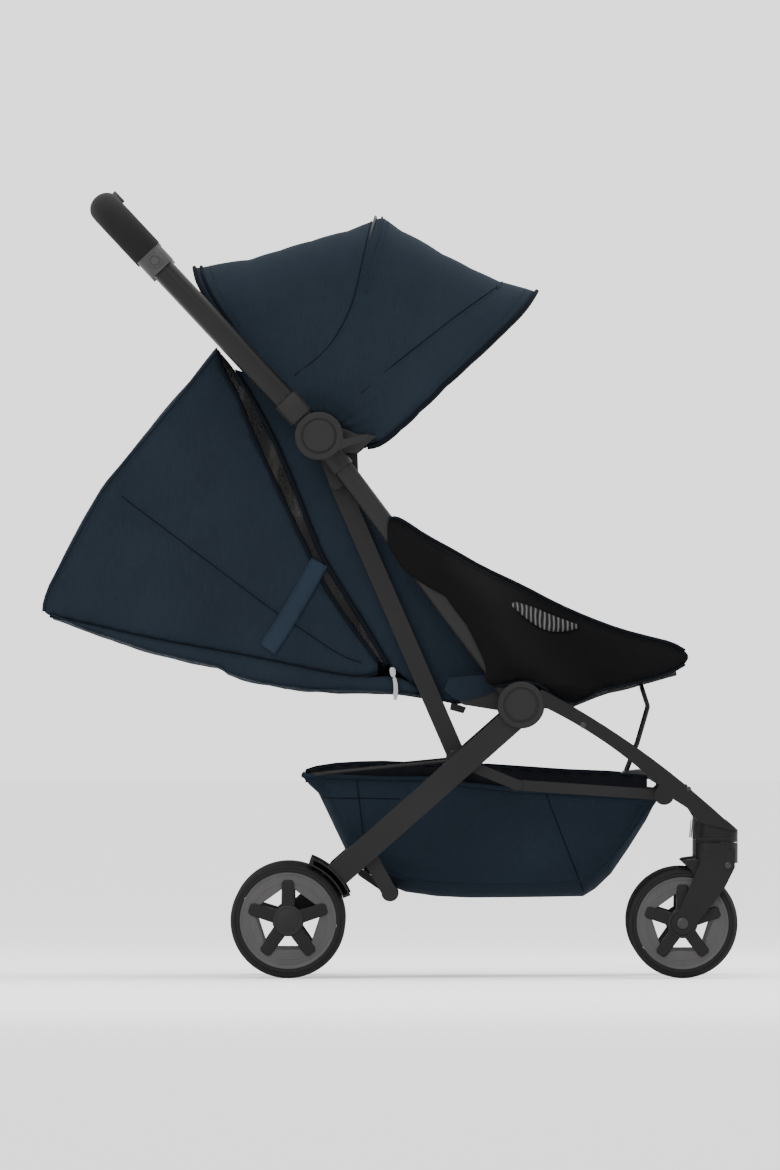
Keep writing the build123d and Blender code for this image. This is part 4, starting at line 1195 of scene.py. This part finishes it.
# ---- wheels --------------------------------------------------------------------------------------
def wheel(axle_name, which, axle, radius, y, width):
    """Tyre with grooved tread, and a rim with a five-sided window and raised spokes."""
    side = SIDES[which]
    face = y + width / 2
    rim_r = radius * 0.845
    back = y - width / 2
    profile = [(rim_r, back + 1), (rim_r + 2, back), (radius - 7, back), (radius - 4, back + 1.2),
               (radius - 1.6, back + 4.5), (radius - 0.4, back + 8)]
    for shift in (-3.6, 3.6):
        profile += [(radius, y + shift - 1.4), (radius - 1.3, y + shift - 0.7),
                    (radius - 1.3, y + shift + 0.7), (radius, y + shift + 1.4)]
    profile += [(radius - 0.4, face - 8), (radius - 1.6, face - 4.5), (radius - 4, face - 1.2),
                (radius - 6, face - 0.3), (radius - 6.6, face - 0.9), (radius - 7.2, face - 0.3),
                (rim_r + 2, face), (rim_r, face - 1)]
    tyre = lathe(f"{axle_name}_tyre_soft_{which}", axle, profile, MATS["tyre"], side, 96)
    shade(tyre, 50)
    body = f"{axle_name}_wheel_{which}"
    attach(tyre, body)
    stand_for(tyre, "tyre", f"{axle_name}_tyre_{which}")
    window = [polar(axle, radius * 0.625, 90 + 72 * k) for k in range(5)]
    disc = plate("t", [circle(axle, rim_r - 0.3, 96), window], side, back + 2.5, face - 2.2, 1.6,
                 MATS["rim_grey"])
    lip = lathe("t", axle, [(rim_r - 5, face - 2.4), (rim_r - 3.6, face - 1.3),
                            (rim_r - 0.6, face - 1.0), (rim_r - 0.2, face - 3)],
                MATS["rim_grey"], side, 96)
    step = lathe("t", axle, [(radius * 0.645, face - 2.3), (radius * 0.655, face - 1.7),
                             (radius * 0.675, face - 1.7), (radius * 0.685, face - 2.3)],
                 MATS["rim_grey"], side, 96)
    rim = join(f"{axle_name}_rim_soft_{which}", [disc, lip, step])
    shade(rim, 40)
    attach(rim, body)
    stand_for(rim, "rim_grey", f"{axle_name}_rim_{which}")
    half_spoke = ((6, radius * 0.12), (radius * 0.5, radius * 0.112), (radius * 0.66, radius * 0.105),
                  (radius * 0.705, radius * 0.07))
    spokes = []
    for k in range(5):
        a = 90 + 72 * k
        outline = [polar(polar(axle, r, a), w, a + 90) for r, w in half_spoke]
        outline += [polar(polar(axle, r, a), w, a - 90) for r, w in half_spoke[::-1]]
        spokes.append(plate("t", [outline], side, back + 5, face + 0.6, 1.6, MATS["black_plastic"]))
    hub_r = radius * 0.272
    hub = [(5.2, back + 2), (hub_r - 2, back + 2), (hub_r, back + 4), (hub_r, face + 0.4),
           (hub_r - 1.6, face + 2), (hub_r - 4, face + 2.3), (hub_r - 4.8, face + 1.7),
           (hub_r - 5.6, face + 2.2), (1.0, face + 2.6), (0.01, face + 2.6)]
    spokes.append(lathe("t", axle, hub, MATS["hub_plastic"], side))
    star = join(f"{axle_name}_spokes_{which}", spokes)
    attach(star, body)


for which in SIDES:
    wheel("rear", which, REAR_AXLE, REAR_WHEEL_R, REAR_WHEEL_Y, REAR_WHEEL_W)
    wheel("front", which, FRONT_AXLE, FRONT_WHEEL_R, FRONT_WHEEL_Y, FRONT_WHEEL_W)


# ---- small hard details ----------------------------------------------------------------------------
def screw_head(name, centre, side, y, radius, height=1.6, recess=True):
    """Domed screw head standing on |y|; with recess, a black plastic hexagon marks its recess as
    painted shade.
    """
    profile = [(radius, y - 0.6), (radius, y + height * 0.4), (radius * 0.86, y + height)]
    profile += [(radius * 0.5, y + height * 1.05), (0.01, y + height * 1.05)]
    head = lathe(name, centre, profile, SCREW, side, 28)
    if not recess:
        return head
    # Painted shade: a black plastic hexagon stands for the dark of the hex recess.
    socket = lathe(name, centre, [(radius * 0.46, y + height * 1.12), (radius * 0.4, y + height * 0.7),
                                  (0.01, y + height * 0.7)], MATS["black_plastic"], side, 6)
    ring = lathe(name, centre, [(radius * 0.56, y + height), (radius * 0.5, y + height * 1.2),
                                (radius * 0.44, y + height * 1.1)], SCREW, side, 28)
    return join(name, [head, socket, ring])


def cap(name, centre, side, y, radius, rings, material):
    """Shallow turned cover with ring grooves at the given radii."""
    profile = [(radius, y - 1.2), (radius, y), (radius - 1, y + 0.9)]
    for r in rings:
        profile += [(r + 1.1, y + 1.1), (r + 0.7, y + 0.2), (r - 0.7, y + 0.2), (r - 1.1, y + 1.2)]
    profile.append((0.01, y + 1.35))
    obj = lathe(name, centre, profile, material, side, 72)
    shade(obj, 30)
    return obj


CAPS = (("upper_hub_cover", HUB_UP, 232.2, 31.2, (22.5,), "hub_plastic", "canopy_arms"),
        ("upper_hub_disc", HUB_UP, 234.4, 20.4, (), "hub_plastic", "canopy_arms"),
        ("lower_hub_cover", HUB_LOW, 233.0, 30.4, (22.5,), "hub_plastic", "front_frame"),
        ("lower_hub_disc", HUB_LOW, 235.0, 20.0, (), "hub_plastic", "seat_frame"),
        ("collar_disc", polar(HUB_UP, 316.6, HANDLE_ANGLE), 234.8, 8.6, (6.2,), "collar_grey",
         "handle"))
for which, side in SIDES.items():
    for name, centre, y, radius, rings, slot, body in CAPS:
        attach(cap(f"{name}_{which}", centre, side, y, radius, rings, MATS[slot]), body)
    rivet = screw_head(f"link_rivet_{which}", (82, 296), side, 157.8, 5.2, 1.4, False)
    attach(rivet, "link_tubes")
    bolts = join(f"front_leg_bolts_{which}", [
        screw_head("t", (253, 334), side, 232.8, 4.2, 1.3, False),
        screw_head("t", (392, 250), side, 232.8, 3.2, 1.0, False)])
    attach(bolts, "front_frame")
    fork = join(f"fork_screws_{which}", [
        screw_head("t", FRONT_AXLE, side, 232.0, 8.0, 2.0),
        screw_head("t", (444, 149), side, 232.0, 4.6, 1.4),
        screw_head("t", FRONT_AXLE, -side, -194.2, 7.0, 1.4)])
    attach(fork, f"caster_{which}")
    fender = plate(f"caster_fender_{which}", [smooth_line([
        (381, 155), (404, 158), (418, 160), (416, 150), (408, 138), (400, 133), (396, 141), (388, 149)],
        1, closed=True)], side, 200, 226, 1.6, MATS["black_plastic"])
    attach(fender, f"caster_{which}")
    ribs = [plate("t", [[(x, 182), (x + 2, 206), (x + 3, 206), (x + 1.6, 182)]],
                  side, 233.0, 233.9, 0.2, MATS["black_plastic"]) for x in range(397, 405, 2)]
    line = tube("t", [(x, side * 233.2, 184) for x in range(402, 457, 4)], 0.7, MATS["hub_plastic"], 6)
    housing = join(f"leg_end_ribs_{which}", ribs + [line])
    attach(housing, "front_frame")
    guard = plate(f"guard_lip_{which}", [
        [polar(REAR_AXLE, 87.5, a) for a in range(24, 67, 3)] + [(-103.6, 157.7)]
        + [polar(REAR_AXLE, 80, a) for a in range(66, 23, -3)]], side, 233.0, 235.0, 0.8,
        MATS["black_plastic"])
    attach(guard, "rear_frame")
    bracket = plate(f"hub_bracket_{which}",
                    [[(-78, 694), (-45, 693), (-44, 660), (-52, 652), (-70, 668)]],
                    side, 178.6, 180.2, 0.5, MATS["black_plastic"])
    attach(bracket, "seat_frame")
    wedge = plate(f"hood_arm_{which}", [[polar(HUB_UP, 26, a) for a in range(-50, 31, 10)] + [
        (-58, 723.6), (-45.5, 717.7), (-32.3, 717), (-19.2, 715.4), (-29, 707.2), (-47, 692)]],
        side, 183.6, 196, 1.8, MATS["hub_plastic"])
    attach(wedge, "canopy_arms")
    flap = plate(f"hinge_flap_{which}", [[(76, 396), (70, 380), (84, 368), (100, 366), (122, 372),
                                          (143, 382), (141, 402), (118, 400)]],
                 side, 179.6, 181.2, 0.6, MATS["navy_fabric"])
    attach(flap, "seat_frame")

heel_ribs = [tube("t", [(x, y, z + 0.3) for x, z in ((307, 270.6), (342, 274.1))], 1.2,
                  MATS["collar_grey"], 6) for y in range(-112, 113, 14)]
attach(join("footrest_ribs", heel_ribs), "front_frame")

SLIDER = smooth_line([(-3, 410), (5, 410), (6, 400), (2, 396), (-2, 400)], 1, True)
PULLER = smooth_line([(1, 398), (6, 398), (9, 384), (8, 368), (4, 366), (2, 370), (3, 384)], 1, True)
for which, side in SIDES.items():
    slider = plate("t", [SLIDER], side, 156.2, 159.4, 0.6, STEEL)
    puller = plate("t", [PULLER], side, 157.2, 159.0, 0.5, STEEL)
    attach(join(f"zip_puller_{which}", [slider, puller]), "seat_frame")

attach(plate("clip_right", [[(79, 364), (99, 357), (95, 349), (77, 354)]], -1, 147, 156, 1.2,
              MATS["black_plastic"]), "seat_frame")

# ---- floor, light, camera ----------------------------------------------------------------------------
FLOOR_SIZE, FLOOR_TONE, STUDIO_LIGHT = 80.0, 0.93, 1.9
bpy.ops.mesh.primitive_plane_add(size=FLOOR_SIZE, location=(0, 0, 0))
floor = bpy.context.object
floor.name = "floor"
paint = bpy.data.materials.new("floor_mat")
paint.use_nodes = True
plain = paint.node_tree.nodes["Principled BSDF"]
plain.inputs["Base Color"].default_value = (FLOOR_TONE, FLOOR_TONE, FLOOR_TONE, 1)
plain.inputs["Roughness"].default_value = 0.9
floor.data.materials.append(paint)

world = bpy.data.worlds.new("studio")
bpy.context.scene.world = world
world.use_nodes = True
backdrop = world.node_tree.nodes["Background"]
backdrop.inputs["Color"].default_value = (1, 1, 1, 1)
backdrop.inputs["Strength"].default_value = STUDIO_LIGHT


def area_light(name, place, target, size, power):
    light = bpy.data.lights.new(name, "AREA")
    light.shape, light.size, light.energy = "DISK", size, power
    obj = bpy.data.objects.new(name, light)
    bpy.context.scene.collection.objects.link(obj)
    obj.location = place
    obj.rotation_euler = (Vector(target) - Vector(place)).to_track_quat("-Z", "Y").to_euler()


area_light("key", (-1.6, -3.2, 3.0), (0, 0, 0.6), 2.2, 95)
area_light("top", (0.4, 0.3, 3.6), (0, 0, 0.4), 2.6, 60)
area_light("rim", (2.6, 1.6, 1.8), (0, 0, 0.6), 1.6, 45)

FRAME_HEIGHT, DISTANCE, SENSOR = 1.5444, 40.0, 36.0
AIM_X, AIM_Z, NEAR_FACE = -0.002, 0.5188, 0.2
camera_data = bpy.data.cameras.new("camera")
camera = bpy.data.objects.new("camera", camera_data)
bpy.context.scene.collection.objects.link(camera)
camera.location = (AIM_X, -NEAR_FACE - DISTANCE, AIM_Z)
camera.rotation_euler = (pi / 2, 0, 0)
camera_data.sensor_fit = "VERTICAL"
camera_data.sensor_height = SENSOR
camera_data.lens = SENSOR * DISTANCE / FRAME_HEIGHT
camera_data.clip_end = 5 * DISTANCE
bpy.context.scene.camera = camera
